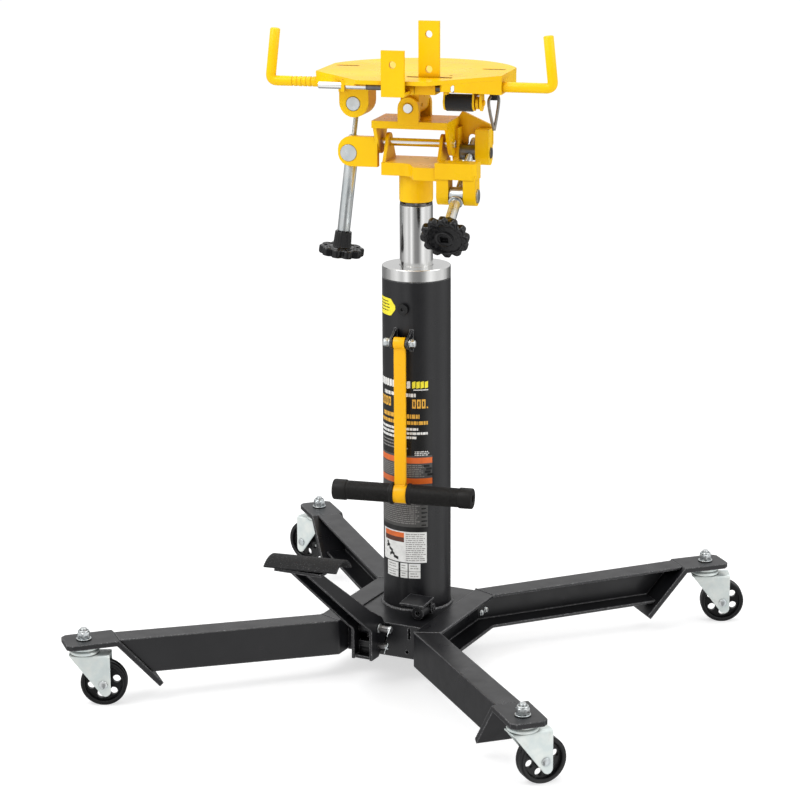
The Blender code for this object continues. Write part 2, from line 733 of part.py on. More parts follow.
# ---------------------------------------------------------------- middle yoke
SIDE_T = (-98.6, 788.0)
SIDE_D = (-89.6, 862.0)
side_wall = [(-39.8, 838), (-34, 829), *arc(0, SHAFT_Z, 18, 200, 340, 8), (34, 829), (39.8, 838)]
arm = [(-54, 768), (-54, 813), (-95, 813), *arc(-95, 793, 20, 99, 180, 4), *arc(-95, 788, 20, 190, 270, 4)]
wing = [(54, 836), (62, 848), (104, 829.5), (108.6, 823), (108.6, 799), (54, 799)]
solid(
    "middle_yoke",
    prism([(-57.5, -40), (57.5, -40), (57.5, 40), (-57.5, 40)], 829, 840),
    YELLOW,
    pivot=(0, 0, SHAFT_Z),
    add=[
        *[along_x(prism(side_wall, x, x + 5.3)) for x in (-57.3, 52)],
        along_y(prism(arm, -21, -10)),
        along_y(prism(wing, 34.5, 41)),
        lug_x(53, 62.6, NUT_Y, NUT_Z - 4, 14.5, NUT_Y - 14.5, 38, 826),
        lug_x(87.4, 108, NUT_Y, NUT_Z - 4, 14.5, NUT_Y - 14.5, 38, 824),
        *[lug_y(y, y + 10, PIN_X, PIN_Z, 16, PIN_X - 16, PIN_X + 16, 835) for y in (-40.3, 30.3)],
    ],
    cut=[
        rod_x(6.4, -70, 70, 0, SHAFT_Z, 20),
        rod_x(8.3, 40, 120, NUT_Y, NUT_Z, 24),
        rod_y(12.8, -30, 0, SIDE_T[0], SIDE_T[1], 28),
        rod_y(7, 34, 45, SCREW_X, 807, 20),
        box(SCREW_X - 7, SCREW_X + 7, 34, 45, 770, 807),
        rod_y(7.5, -60, 60, PIN_X, PIN_Z, 20),
    ],
)
solid(
    "saddle_pin",
    rod_y(7.2, -42.5, 42.5, PIN_X, PIN_Z, 20),
    CHROME,
    pivot=(PIN_X, 0, PIN_Z),
)

# Side tilt screw, between the arm of the middle yoke and the lug of the saddle.
down = Vector((SIDE_T[0] - SIDE_D[0], 0.0, SIDE_T[1] - SIDE_D[1]))
reach = down.length
side_axis = aimed((SIDE_D[0], 0, SIDE_D[1]), down, (0, 1, 0))
solid(
    "side_dowel",
    rod_y(10.8, -25.4, 18.4, *SIDE_D, 28),
    ZINC,
    pivot=(SIDE_D[0], 0, SIDE_D[1]),
    cut=[put(turned([(5.3, -30), (5.3, 30)], 16), side_axis)],
)
solid(
    "side_trunnion",
    rod_y(12.5, -21.8, -9.0, *SIDE_T, 28),
    ZINC,
    pivot=(SIDE_T[0], 0, SIDE_T[1]),
    add=[rod_y(15.5, -9.6, 11, *SIDE_T, 28)],
    cut=[put(turned([(8.3, reach - 30), (8.3, reach + 30)], 20), side_axis)],
)
solid(
    "side_screw",
    put(turned([(3.2, -8.5), (3.9, -7.7), (3.9, 138)], 16), side_axis),
    ZINC,
    pivot=(SIDE_D[0], 0, SIDE_D[1]),
)
sleeve = [(4.3, reach - 24), (7.4, reach - 24), (8, reach - 22), (8, reach + 17), (9.6, reach + 18)]
sleeve += [(9.6, 196.5), (8, 197.5), (8, 206), (4.3, 206)]
solid(
    "side_sleeve",
    put(ring(sleeve, 24), side_axis),
    ZINC,
    pivot=(SIDE_T[0], 0, SIDE_T[1]),
)


def knob(name, axis, start, face, r, hub_r, lobes, bore, pivot):
    """Lobed hand knob with a tall hub and a square drive recess in its face."""
    rim = star(r, 6.5, lobes)
    disc = []
    for scale, z in ((0.93, face - 13), (1.0, face - 10.5), (1.0, face - 3), (0.94, face)):
        disc.append([(x * scale, y * scale, z) for x, y in rim])
    hub = turned([(hub_r, start), (hub_r + 1.5, face - 11)], 20)
    solid(
        name,
        put(loft(disc), axis),
        PLASTIC,
        pivot=pivot,
        add=[put(hub, axis)],
        cut=[
            put(turned([(8.3, start - 5), (8.3, bore)], 24), axis),
            put(box(-6, 6, -6, 6, face - 6, face + 1), axis),
        ],
    )


knob("side_knob", side_axis, 198, 234.5, 34.2, 12.5, 10, 206.4, (SIDE_T[0], 0, SIDE_T[1]))

# Front tilt screw, between the clevis of the lower yoke and the wing of the middle yoke.
solid(
    "front_swivel",
    rod_x(10.1, 47.5, 109.6, CLEVIS_Y, CLEVIS_Z, 24),
    ZINC,
    pivot=(SCREW_X, CLEVIS_Y, CLEVIS_Z),
    add=[rod_x(12.6, 67.4, 88.6, CLEVIS_Y, CLEVIS_Z, 28)],
    cut=[put(turned([(6.4, -30), (6.4, 30)], 20), front_axis)],
)
solid(
    "front_nut",
    rod_x(8, 50.5, 109.6, NUT_Y, NUT_Z, 20),
    PLASTIC,
    pivot=(SCREW_X, NUT_Y, NUT_Z),
    add=[rod_x(12, 63, 87, NUT_Y, NUT_Z, 24)],
    cut=[put(turned([(7.0, -span - 30), (7.0, 30 - span)], 20), front_axis)],
)
solid(
    "front_screw",
    put(
        turned([(5, -126), (6, -125), (6, 13.2), (10.8, 13.3), (10.8, 16.5), (8, 16.6), (8, 70)], 24),
        front_axis,
    ),
    ZINC,
    pivot=(SCREW_X, CLEVIS_Y, CLEVIS_Z),
)
knob("front_knob", front_axis, 60, 97, 36.2, 12, 12, 70.4, (SCREW_X, CLEVIS_Y, CLEVIS_Z))

# ---------------------------------------------------------------- saddle
under = SADDLE_TOP - SADDLE_T
round_r = 150.0
meet = math.degrees(math.asin(50.0 / round_r))
edge = math.degrees(math.acos(SADDLE_HALF / round_r))
front = [(-SADDLE_HALF, -46), (-52, -140), (52, -140), (SADDLE_HALF, -46)]
plan = front + arc(0, 0, round_r, edge, 180 - edge, 24)


def skirt(points, t=4.0):
    """Bent-down edge: (x, y, lowest z) stations along the rim."""
    loops = []
    for (x, y, z), (nx, ny) in points:
        x, y = x - 0.2 * nx, y - 0.2 * ny
        inner_x, inner_y = x - nx * t, y - ny * t
        outer_edge = [(x, y, under + 1), (x, y, z)]
        loops.append(outer_edge + [(inner_x, inner_y, z), (inner_x, inner_y, under + 1)])
    return loft(loops)


back = math.sqrt(round_r**2 - SADDLE_HALF**2)
skirts = []
for s, low, end in (
    (-1, 893, ((-56, -136, 903), (-0.73, -0.68))),
    (1, 884, ((69.6, -121.2, 896), (0.73, -0.68))),
):
    rear_end = ((s * SADDLE_HALF, back, low + 2), (s, 0.0))
    corner = ((s * SADDLE_HALF, -46, low), (s, -0.44))
    skirts.append(skirt([rear_end, corner, end]))
slots = []
for s in (-1, 1):
    for k in (-1, 1):
        slots.append(rod_z(4, under - 5, SADDLE_TOP + 5, s * 112 + k * 14, 28, 16))
    slots.append(box(s * 112 - 14, s * 112 + 14, 24, 32, under - 5, SADDLE_TOP + 5))
block = [(-111, 908), (-111, 864), *arc(-88.5, 864, 22.5, 180, 360, 12), (-66, 908)]
solid(
    "saddle_plate",
    prism(plan, under, SADDLE_TOP),
    YELLOW,
    pivot=(PIN_X, 0, PIN_Z),
    add=[
        *skirts,
        along_y(prism(block, -25, 18)),
        lug_y(-29.8, 29.8, PIN_X, PIN_Z, 14, PIN_X - 14, PIN_X + 14, 908),
        *[box(s * 104 - 2, s * 104 + 2, -45, -23.5, 882, 908) for s in (-1, 1)],
        box(-82, -77, BAR_Y - 8, BAR_Y + 9, 891, 908),
        box(70, 75, BAR_Y - 8, BAR_Y + 9, 891, 908),
    ],
    cut=[
        *slots,
        box(9, 76, -91, -80, under - 5, SADDLE_TOP + 5),
        rod_z(3, under - 5, SADDLE_TOP + 5, 68, -59, 12),
        rod_x(7.9, -150, -90, ARM_Y, ARM_Z, 20),
        rod_x(7.9, 90, 150, ARM_Y, ARM_Z, 20),
        rod_x(5.4, -125, 84, BAR_Y, BAR_Z, 16),
        rod_y(7.5, -60, 60, PIN_X, PIN_Z, 20),
        rod_y(11.1, -40, 30, *SIDE_D, 28),
        box(SIDE_D[0] - 12, SIDE_D[0] + 10, -5.5, 5.5, 830, SIDE_D[1]),
        rod_x(3.2, 5, 20, -12, 862, 12),
    ],
)


def arm_rod(name, side, lean, top, grooves):
    """Bent retaining rod that slides in the side skirt."""
    corner = (side * 214.0, ARM_Y, ARM_Z)
    tip = (side * (214.0 - lean), ARM_Y, top)
    root = (side * 96.0, ARM_Y, ARM_Z)
    path = [root, *bend(corner, root, tip, 14.0), tip]
    cuts = []
    for i in range(grooves):
        x = side * (149.0 + 7.3 * i)
        groove = [(6.7, x - 1.4), (9, x - 1.4), (9, x + 1.4), (6.7, x + 1.4)]
        cuts.append(along_x(ring(groove, 20), 0, ARM_Y, ARM_Z))
    solid(name, wire(path, 7.5, 16), YELLOW, cut=cuts)


arm_rod("arm_rod_left", -1, 9.0, 972.0, 5)
arm_rod("arm_rod_right", 1, 8.0, 970.0, 0)

solid(
    "bracket_bar",
    rod_x(5, -118, 78, BAR_Y, BAR_Z, 16),
    CHROME,
)
TALL_X, SHORT_X = 42.5, 4.5
solid(
    "stop_bracket_tall",
    box(TALL_X - 15.5, TALL_X + 15.5, -88.5, -82.5, 892, 993),
    YELLOW,
    pivot=(TALL_X, BAR_Y, BAR_Z),
    add=[box(TALL_X - 15.3, TALL_X + 15.3, BAR_Y - 7, -84, 890, 905.6)],
    cut=[
        rod_x(5.4, TALL_X - 20, TALL_X + 20, BAR_Y, BAR_Z, 16),
        *[rod_y(5.2, -100, -70, TALL_X, z, 20) for z in (924, 974)],
    ],
)
solid(
    "stop_bracket_short",
    box(SHORT_X - 17, SHORT_X + 17, -148.5, -142.5, 890, 956),
    YELLOW,
    pivot=(SHORT_X, BAR_Y, BAR_Z),
    add=[
        box(SHORT_X - 16.8, SHORT_X + 16.8, -146, BAR_Y, 890.3, 896),
        rod_x(8.5, SHORT_X - 16.5, SHORT_X + 22, BAR_Y, BAR_Z - 1.5, 20),
    ],
    cut=[
        rod_x(5.4, SHORT_X - 20, SHORT_X + 25, BAR_Y, BAR_Z, 16),
        rod_y(5.2, -160, -130, SHORT_X, 936, 20),
    ],
)

# ---------------------------------------------------------------- hold-down strap
STRAP_Y, STRAP_Z = -57.0, 873.5
cheek = [(STRAP_Y - 6, 903), (STRAP_Y + 8, 903), *arc(STRAP_Y, STRAP_Z, 12, 0, -180, 8)]
solid(
    "strap_ratchet",
    box(58, 115, STRAP_Y - 6, STRAP_Y + 8, 901.5, under - GAP),
    YELLOW,
    pivot=(82, STRAP_Y, STRAP_Z),
    add=[
        *[along_x(prism(cheek, x, x + 2.8)) for x in (58.2, 101.4, 112)],
        rod_x(4, 56, 118, STRAP_Y, STRAP_Z, 12),
        rod_x(9.5, 105.5, 110, STRAP_Y, STRAP_Z, 10),
    ],
)
web = [(4.4, 61.6), (13.6, 61.6), (13.6, 100.9), (4.4, 100.9)]
solid(
    "strap_roll",
    along_x(ring(web, 28), 0, STRAP_Y, STRAP_Z),
    WEBBING,
    pivot=(82, STRAP_Y, STRAP_Z),
)
hook_path = [
    (118, -12, 880),
    (114.5, -18, 868),
    (119.5, -9.5, 832),
    (121.5, -7.5, 832),
    (125.5, 0, 868),
    (124, -4, 880),
]
solid(
    "strap_hook",
    box(115, 127, -16, 1, 872, under - GAP),
    PLASTIC,
    pivot=(121, -8, 876),
    add=[wire(hook_path, 2.3, 8)],
)
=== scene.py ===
import json
import math

import bmesh
import bpy
from mathutils import Matrix, Vector

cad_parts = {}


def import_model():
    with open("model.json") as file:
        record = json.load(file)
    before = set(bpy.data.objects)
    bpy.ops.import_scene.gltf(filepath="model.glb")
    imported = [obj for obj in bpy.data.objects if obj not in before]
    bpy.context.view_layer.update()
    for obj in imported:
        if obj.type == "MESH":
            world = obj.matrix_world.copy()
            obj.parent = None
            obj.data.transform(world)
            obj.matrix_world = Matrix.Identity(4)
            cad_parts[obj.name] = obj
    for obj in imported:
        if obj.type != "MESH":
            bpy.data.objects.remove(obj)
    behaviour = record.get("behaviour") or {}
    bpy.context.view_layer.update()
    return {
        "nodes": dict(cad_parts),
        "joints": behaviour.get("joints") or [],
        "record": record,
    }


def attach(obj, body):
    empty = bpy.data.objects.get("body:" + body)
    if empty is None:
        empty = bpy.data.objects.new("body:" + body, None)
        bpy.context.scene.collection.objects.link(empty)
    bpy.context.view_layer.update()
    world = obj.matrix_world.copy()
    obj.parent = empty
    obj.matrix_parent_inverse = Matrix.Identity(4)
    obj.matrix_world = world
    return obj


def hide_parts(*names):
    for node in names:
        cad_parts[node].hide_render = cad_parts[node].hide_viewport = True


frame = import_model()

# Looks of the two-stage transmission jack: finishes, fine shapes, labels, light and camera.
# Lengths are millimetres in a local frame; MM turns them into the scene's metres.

MM = 0.001
NODES = frame["nodes"]
JOINTS = {joint["name"]: joint for joint in frame["joints"]}


def joint_point(name):
    return Vector(JOINTS[name]["pos_m"]) / MM


def joint_axis(name):
    return Vector(JOINTS[name]["axis"]).normalized()


# BASE has its origin under the column.  The hydraulic unit is turned on the base; the shaft
# of the head tells by how much.
COLUMN = joint_point("head_turn") * Vector((1, 1, 0))
BASE = Matrix.Translation(COLUMN)
UNIT_TURN = math.atan2(joint_axis("head_tilt").y, joint_axis("head_tilt").x)
UNIT = BASE @ Matrix.Rotation(UNIT_TURN, 4, "Z")


def extents(node, place=BASE):
    """Lowest and highest corner of a CAD node along the axes of a frame, in millimetres."""
    back = place.inverted()
    points = [back @ (v.co / MM) for v in NODES[node].data.vertices]
    low = Vector([min(p[i] for p in points) for i in range(3)])
    high = Vector([max(p[i] for p in points) for i in range(3)])
    return low, high


# ---------------- finishes
# Colour sockets of a mix node.
MIX_A, MIX_B, MIX_RESULT = 6, 7, 2
# Cosine between rounded and true normal: above FLAT there is no edge, below SHARP it shows fully.
FLAT, SHARP = 0.985, 0.90


class Tree:
    """Short way to wire the nodes of a material or a world."""

    def __init__(self, name, kind=bpy.data.materials, place="Object"):
        self.owner = kind.new(name)
        self.owner.use_nodes = True
        self.nodes = self.owner.node_tree.nodes
        self.links = self.owner.node_tree.links
        self.place = self.node("ShaderNodeTexCoord").outputs[place]

    def node(self, kind, **inputs):
        made = self.nodes.new(kind)
        for key, value in inputs.items():
            self.feed(made.inputs[key.replace("_", " ")], value)
        return made

    def feed(self, socket, value):
        if isinstance(value, bpy.types.NodeSocket):
            self.links.new(value, socket)
        else:
            socket.default_value = value

    def math(self, operation, a, b, clamp=False):
        made = self.nodes.new("ShaderNodeMath")
        made.operation = operation
        made.use_clamp = clamp
        self.feed(made.inputs[0], a)
        self.feed(made.inputs[1], b)
        return made.outputs[0]

    def stretched(self, scale):
        """Object coordinates, stretched."""
        made = self.node("ShaderNodeMapping", Vector=self.place)
        made.inputs["Scale"].default_value = scale
        return made.outputs[0]

    def noise(self, scale, detail, vector=None):
        made = self.node("ShaderNodeTexNoise", Vector=vector or self.place, Scale=scale, Detail=detail)
        return made.outputs["Fac"]

    def span(self, value, low, high, new_low, new_high):
        made = self.node("ShaderNodeMapRange")
        for i, item in enumerate((value, low, high, new_low, new_high)):
            self.feed(made.inputs[i], item)
        return made.outputs[0]

    def mix(self, share, a, b):
        made = self.nodes.new("ShaderNodeMix")
        made.data_type = "RGBA"
        self.feed(made.inputs[0], share)
        for slot, colour in ((MIX_A, a), (MIX_B, b)):
            linked = isinstance(colour, bpy.types.NodeSocket)
            self.feed(made.inputs[slot], colour if linked else (*colour, 1.0))
        return made.outputs[MIX_RESULT]

    def edges(self, radius):
        """(rounded normal, mask that is 1 on sharp edges)."""
        bevel = self.node("ShaderNodeBevel", Radius=radius * MM)
        bevel.samples = 4
        plain = self.node("ShaderNodeNewGeometry").outputs["True Normal"]
        dot = self.nodes.new("ShaderNodeVectorMath")
        dot.operation = "DOT_PRODUCT"
        self.feed(dot.inputs[0], bevel.outputs[0])
        self.feed(dot.inputs[1], plain)
        return bevel.outputs[0], self.span(dot.outputs["Value"], FLAT, SHARP, 0.0, 1.0)

    def corners(self, reach, depth):
        """Share of light left in tight corners, from 1 in the open down to depth."""
        made = self.node("ShaderNodeAmbientOcclusion", Distance=reach * MM)
        made.samples = 6
        return self.span(made.outputs["AO"], 0.35, 0.85, depth, 1.0)

    def bump(self, height, distance, strength, normal=None):
        made = self.node("ShaderNodeBump", Height=height, Distance=distance * MM, Strength=strength)
        if normal is not None:
            self.feed(made.inputs["Normal"], normal)
        return made.outputs[0]

    def finish(self, colour, roughness, normal, metallic=0.0, shine=0.5, **more):
        """Feeds the shader and returns the material; more names inputs with _ for a space."""
        inputs = {"Base Color": colour, "Roughness": roughness, "Normal": normal, "Metallic": metallic,
                  "Specular IOR Level": shine, **more}
        for key, value in inputs.items():
            self.feed(self.nodes["Principled BSDF"].inputs[key.replace("_", " ")], value)
        return self.owner


def powder_coat(name, colour, deep, roughness, edge_rub_and_highlight, shine, rub_and_highlight_share, rim, corner_shade=(0.0, 0.0, 0.0)):
    """Sprayed and baked paint: orange peel, cloudy gloss, lighter edges (rubbed, and a painted highlight),
    painted shade in the corners.
    """
    t = Tree(name)
    rounded, edge = t.edges(rim)
    cloud = t.noise(9.0, 4.0)
    speck = t.noise(420.0, 5.0)
    # Edges go lighter: partly rubbed paint, partly a painted highlight where the rims catch the light.
    rubbed_and_lit_edge = t.math("MULTIPLY", edge, t.span(speck, 0.50, 0.66, 0.25, 1.0), clamp=True)
    rubbed_and_lit_edge = t.math("MULTIPLY", rubbed_and_lit_edge, rub_and_highlight_share)
    body = t.mix(t.span(cloud, 0.35, 0.65, 0.0, 1.0), deep, colour)
    # Painted shade: in tight corners the colour goes darker, towards the corner colour.
    open_air = t.corners(16.0, 0.25)
    body = t.mix(open_air, corner_shade, body)
    shown = t.mix(rubbed_and_lit_edge, body, edge_rub_and_highlight)
    gloss = t.span(t.noise(38.0, 3.0), 0.3, 0.7, roughness - 0.05, roughness + 0.06)
    peel = t.bump(t.noise(520.0, 2.0), 0.10, 0.35, rounded)
    # The gloss is dimmed in the same tight corners: painted shade.
    return t.finish(shown, gloss, peel, shine=t.math("MULTIPLY", open_air, shine))


def chrome(name):
    """Hard chrome or ground steel with fine turning lines and faint handling smears."""
    t = Tree(name)
    tint = (0.80, 0.80, 0.79)
    lines = t.noise(45.0, 6.0, t.stretched((1.0, 1.0, 60.0)))
    smear = t.noise(14.0, 4.0)
    rounded, edge = t.edges(0.6)
    rough = t.span(smear, 0.3, 0.75, 0.09, 0.20)
    shown = t.mix(t.span(smear, 0.35, 0.7, 0.0, 1.0), tint, [c * 0.93 for c in tint])
    fine = t.bump(lines, 0.01, 0.25, rounded)
    return t.finish(shown, t.math("ADD", rough, t.math("MULTIPLY", edge, 0.1)), fine, 1.0)


def zinc(name, tint=(0.74, 0.76, 0.76), rough=0.30, grain=130.0, metal=1.0):
    """Bright zinc plate: cool, cloudy and slightly blotched, with painted shade in tight corners."""
    t = Tree(name)
    rounded, edge = t.edges(0.7)
    cloud = t.noise(60.0, 5.0)
    blotch = t.noise(grain, 3.0)
    shown = t.mix(t.span(cloud, 0.35, 0.65, 0.0, 1.0), tint, (tint[0] * 0.86, tint[1] * 0.9, tint[2] * 0.92))
    shown = t.mix(t.math("MULTIPLY", t.span(blotch, 0.62, 0.74, 0.0, 1.0), 0.25), shown, (0.60, 0.60, 0.55))
    # Painted shade: darker where corners are tight.
    shown = t.mix(t.corners(5.0, 0.2), [c * 0.12 for c in tint], shown)
    shine = t.span(blotch, 0.3, 0.7, rough - 0.05, rough + 0.12)
    return t.finish(shown, t.math("SUBTRACT", shine, t.math("MULTIPLY", edge, 0.08)),
                    t.bump(blotch, 0.02, 0.3, rounded), metal)


def dark_steel(name):
    """Oiled black oxide on turned steel."""
    t = Tree(name)
    rounded, edge = t.edges(0.6)
    cloud = t.noise(75.0, 5.0)
    shown = t.mix(t.span(cloud, 0.35, 0.7, 0.0, 1.0), (0.13, 0.13, 0.135), (0.25, 0.24, 0.23))
    shown = t.mix(t.math("MULTIPLY", edge, 0.5), shown, (0.5, 0.5, 0.5))
    return t.finish(shown, t.span(cloud, 0.3, 0.7, 0.28, 0.46),
                    t.bump(t.noise(300.0, 4.0), 0.02, 0.4, rounded), 1.0)


def moulding(name, colour, roughness, grain, peel, shine):
    """Moulded black plastic or rubber with a spark-eroded grain and scuffed edges."""
    t = Tree(name)
    rounded, edge = t.edges(0.8)
    cloud = t.noise(25.0, 4.0)
    dust = t.noise(190.0, 4.0)
    paler = [min(1.0, c * 2.2 + 0.01) for c in colour]
    shown = t.mix(t.span(cloud, 0.3, 0.7, 0.0, 0.6), colour, [c * 1.6 for c in colour])
    scuff = t.math("MULTIPLY", edge, t.span(dust, 0.45, 0.7, 0.0, 0.8), clamp=True)
    shown = t.mix(scuff, shown, paler)
    rough = t.span(dust, 0.3, 0.7, roughness - 0.05, roughness + 0.08)
    return t.finish(shown, rough, t.bump(t.noise(grain, 3.0), peel, 0.6, rounded), shine=shine)


def tread(name):
    """Cast rubber tread with hard grit rolled into it, and a painted highlight along its edges."""
    t = Tree(name)
    rounded, edge = t.edges(1.2)
    cell = t.node("ShaderNodeTexVoronoi", Vector=t.place, Scale=420.0).outputs["Distance"]
    grit = t.span(cell, 0.10, 0.34, 1.0, 0.0)
    patch = t.span(t.noise(70.0, 5.0), 0.42, 0.62, 0.0, 1.0)
    bright = t.math("MULTIPLY", grit, patch)
    # The edges are lightened as well: painted highlight.
    bright = t.math("ADD", t.math("MULTIPLY", bright, 0.55), t.math("MULTIPLY", edge, 0.30), clamp=True)
    shown = t.mix(bright, (0.0070, 0.0070, 0.0075), (0.16, 0.16, 0.165))
    return t.finish(shown, t.span(grit, 0.0, 1.0, 0.62, 0.30), t.bump(grit, 0.5, 0.8, rounded), shine=0.22)


def webbing(name):
    """Woven polyester strap: ribs across the width, broken by the weft."""
    t = Tree(name)
    wave = []
    for scale, direction in ((260.0, "X"), (420.0, "Z")):
        made = t.node("ShaderNodeTexWave", Vector=t.place, Scale=scale, Distortion=0.6)
        made.bands_direction = direction
        wave.append(made.outputs["Fac"])
    weave = t.math("MULTIPLY", wave[0], wave[1])
    shown = t.mix(weave, (0.006, 0.006, 0.007), (0.030, 0.030, 0.033))
    return t.finish(shown, t.span(weave, 0.0, 1.0, 0.75, 0.5), t.bump(weave, 0.25, 0.8),
                    Sheen_Weight=0.25, Sheen_Roughness=0.4)


def printed(name, colour, roughness):
    """Printed vinyl: laminate gloss, faint ink unevenness."""
    t = Tree(name)
    ink = t.noise(160.0, 5.0)
    shown = t.mix(t.span(ink, 0.35, 0.7, 0.0, 1.0), colour, [c * 0.86 for c in colour])
    gloss = t.span(t.noise(30.0, 2.0), 0.3, 0.7, roughness - 0.06, roughness + 0.06)
    return t.finish(shown, gloss, t.bump(ink, 0.01, 0.2))


# Each coat goes darker in tight corners towards its corner colour (painted shade, black when none is given)
# and lighter on its edges towards its edge colour (rubbed paint and painted highlight).
BLACK = powder_coat("satin_black_powder_coat", (0.0085, 0.0085, 0.0100), (0.0055, 0.0055, 0.0068),
                    roughness=0.32, edge_rub_and_highlight=(0.42, 0.42, 0.43), shine=0.5, rub_and_highlight_share=0.9, rim=2.4)
YELLOW = powder_coat("amber_powder_coat", (0.89, 0.57, 0.001), (0.87, 0.49, 0.001), roughness=0.30,
                     edge_rub_and_highlight=(0.97, 0.72, 0.08), shine=0.20, rub_and_highlight_share=0.4, rim=1.1, corner_shade=(0.40, 0.10, 0.001))
# The arm's copy of the yellow coat is more orange: painted shade, for an arm that stands in less light.
ARM_YELLOW_SHADED = powder_coat("arm_yellow_with_painted_shade", (0.90, 0.46, 0.001), (0.86, 0.42, 0.001), roughness=0.30,
                    edge_rub_and_highlight=(0.97, 0.62, 0.05), shine=0.26, rub_and_highlight_share=0.4, rim=1.1, corner_shade=(0.30, 0.085, 0.001))
CHROME = chrome("hard_chrome")
ZINC = zinc("bright_zinc")
PALE_ZINC = zinc("pale_zinc_pressing", (0.82, 0.86, 0.83), 0.42, 90.0, 0.55)
STEEL = dark_steel("black_oxide_steel")
KNOB = moulding("glossy_black_moulding", (0.0035, 0.0035, 0.004), 0.12, 900.0, 0.004, 0.42)
WHEEL = moulding("wheel_plastic", (0.0045, 0.0045, 0.005), 0.30, 500.0, 0.02, 0.42)
RUBBER = moulding("grip_rubber", (0.0075, 0.007, 0.0065), 0.46, 1400.0, 0.05, 0.22)
PAD = tread("gritty_tread")
STRAP = webbing("strap_webbing")
HOOK_STEEL = zinc("hook_wire", (0.36, 0.33, 0.29), 0.36)
INK = printed("label_black", (0.006, 0.006, 0.006), 0.30)
PAPER = printed("label_white", (0.80, 0.80, 0.78), 0.40)
ORANGE = printed("label_orange", (0.78, 0.15, 0.02), 0.34)
GOLD = printed("label_gold", (0.80, 0.42, 0.04), 0.34)
LEMON = printed("label_lemon", (0.90, 0.78, 0.02), 0.34)
GREY = printed("label_grey", (0.075, 0.073, 0.070), 0.38)
PALE_INK = printed("label_pale_ink", (0.26, 0.25, 0.24), 0.40)
# The brown also darkens the slots of the saddle: painted shade.
BROWN = printed("label_brown_and_slot_shade", (0.10, 0.028, 0.014), 0.36)

FINISHES = {
    "black_paint": BLACK,
    "yellow_paint": YELLOW,
    "chrome_rod": CHROME,
    "zinc_plate": ZINC,
    "dark_steel": STEEL,
    "knob_plastic": KNOB,
    "wheel_plastic": WHEEL,
    "grip_rubber": RUBBER,
    "webbing": STRAP,
}


# ---------------- shapes
def circle(r, n, phase=0.0):
    turns = [phase + math.tau * i / n for i in range(n)]
    return [(r * math.cos(a), r * math.sin(a)) for a in turns]


def rect(x0, x1, y0, y1):
    return [(x0, y0), (x1, y0), (x1, y1), (x0, y1)]


def ring_path(r, z, n):
    """Points once round a circle at height z, back to the first."""
    return [(x, y, z) for x, y in circle(r, n)] + [(r, 0.0, z)]


def skin(loops, closed=False):
    """Surface through equal loops: capped at both ends, or joined end to end when closed."""
    count = len(loops[0])
    points = [Vector(p) for loop in loops for p in loop]
    total = len(points)
    faces = []
    for row in range(len(loops) if closed else len(loops) - 1):
        for i in range(count):
            a, b = row * count + i, row * count + (i + 1) % count
            faces.append((a, b, (b + count) % total, (a + count) % total))
    if not closed:
        faces += [tuple(range(count))[::-1], tuple(range(total - count, total))]
    return points, faces


def plate(outline, y0, y1):
    """Flat plate across Y from an (x, z) outline."""
    return skin([[(x, y, z) for x, z in outline] for y in (y0, y1)])


def fillet(points, radius, steps=3, closed=True):
    """Outline with rounded corners; the round shrinks where a side is short."""
    out = []
    count = len(points)
    for i, point in enumerate(points):
        if not closed and i in (0, count - 1):
            out.append(tuple(point))
            continue
        p, a, b = Vector(point), Vector(points[i - 1]), Vector(points[(i + 1) % count])
        u, v = a - p, b - p
        if u.length < 1e-6 or v.length < 1e-6 or u.angle(v) > math.radians(165):
            out.append(tuple(point))
            continue
        reach = min(radius / math.tan(u.angle(v) / 2), 0.45 * u.length, 0.45 * v.length)
        first, last = p + u.normalized() * reach, p + v.normalized() * reach
        for k in range(steps + 1):
            t = k / steps
            out.append(tuple(first * (1 - t) ** 2 + p * (2 * t * (1 - t)) + last * t**2))
    return out


def lathe(profile, n=72):
    """Solid turned about local Z from (radius, z) pairs."""
    return skin([[(x, y, z) for x, y in circle(max(r, 0.01), n)] for r, z in profile])


def hoop(section, n=72):
    """Ring turned about local Z from a closed (radius, z) section."""
    loops = []
    for i in range(n):
        c, s = math.cos(math.tau * i / n), math.sin(math.tau * i / n)
        loops.append([(r * c, r * s, z) for r, z in section])
    return skin(loops, closed=True)


def pin(r, z0, z1, edge=0.8, n=48):
    """Round bar along local Z with rounded ends."""
    return lathe(fillet([(0, z0), (r, z0), (r, z1), (0, z1)], edge, 3, closed=False), n)


def inset(outline, distance):
    """Outline moved inwards by a distance, corner by corner."""
    out = []
    count = len(outline)
    for i in range(count):
        p, a, b = Vector(outline[i]), Vector(outline[i - 1]), Vector(outline[(i + 1) % count])
        u, v = (p - a).normalized(), (b - p).normalized()
        normal = Vector((-u.y - v.y, u.x + v.x))
        scale = normal.length_squared
        shift = normal * (2.0 / scale) if scale > 0.2 else normal
        out.append(tuple(p + shift * distance))
    return out


def slab(outline, low, high, edge):
    """Plate with an anticlockwise outline and softly rounded rims."""
    rims = []
    for turn in (0, 45, 90):
        a = math.radians(turn)
        rims.append((inset(outline, edge * (1 - math.sin(a))), edge * (1 - math.cos(a))))
    stack = [(rim, low + rise) for rim, rise in rims] + [(rim, high - rise) for rim, rise in reversed(rims)]
    return skin([[(x, y, z) for x, y in rim] for rim, z in stack])


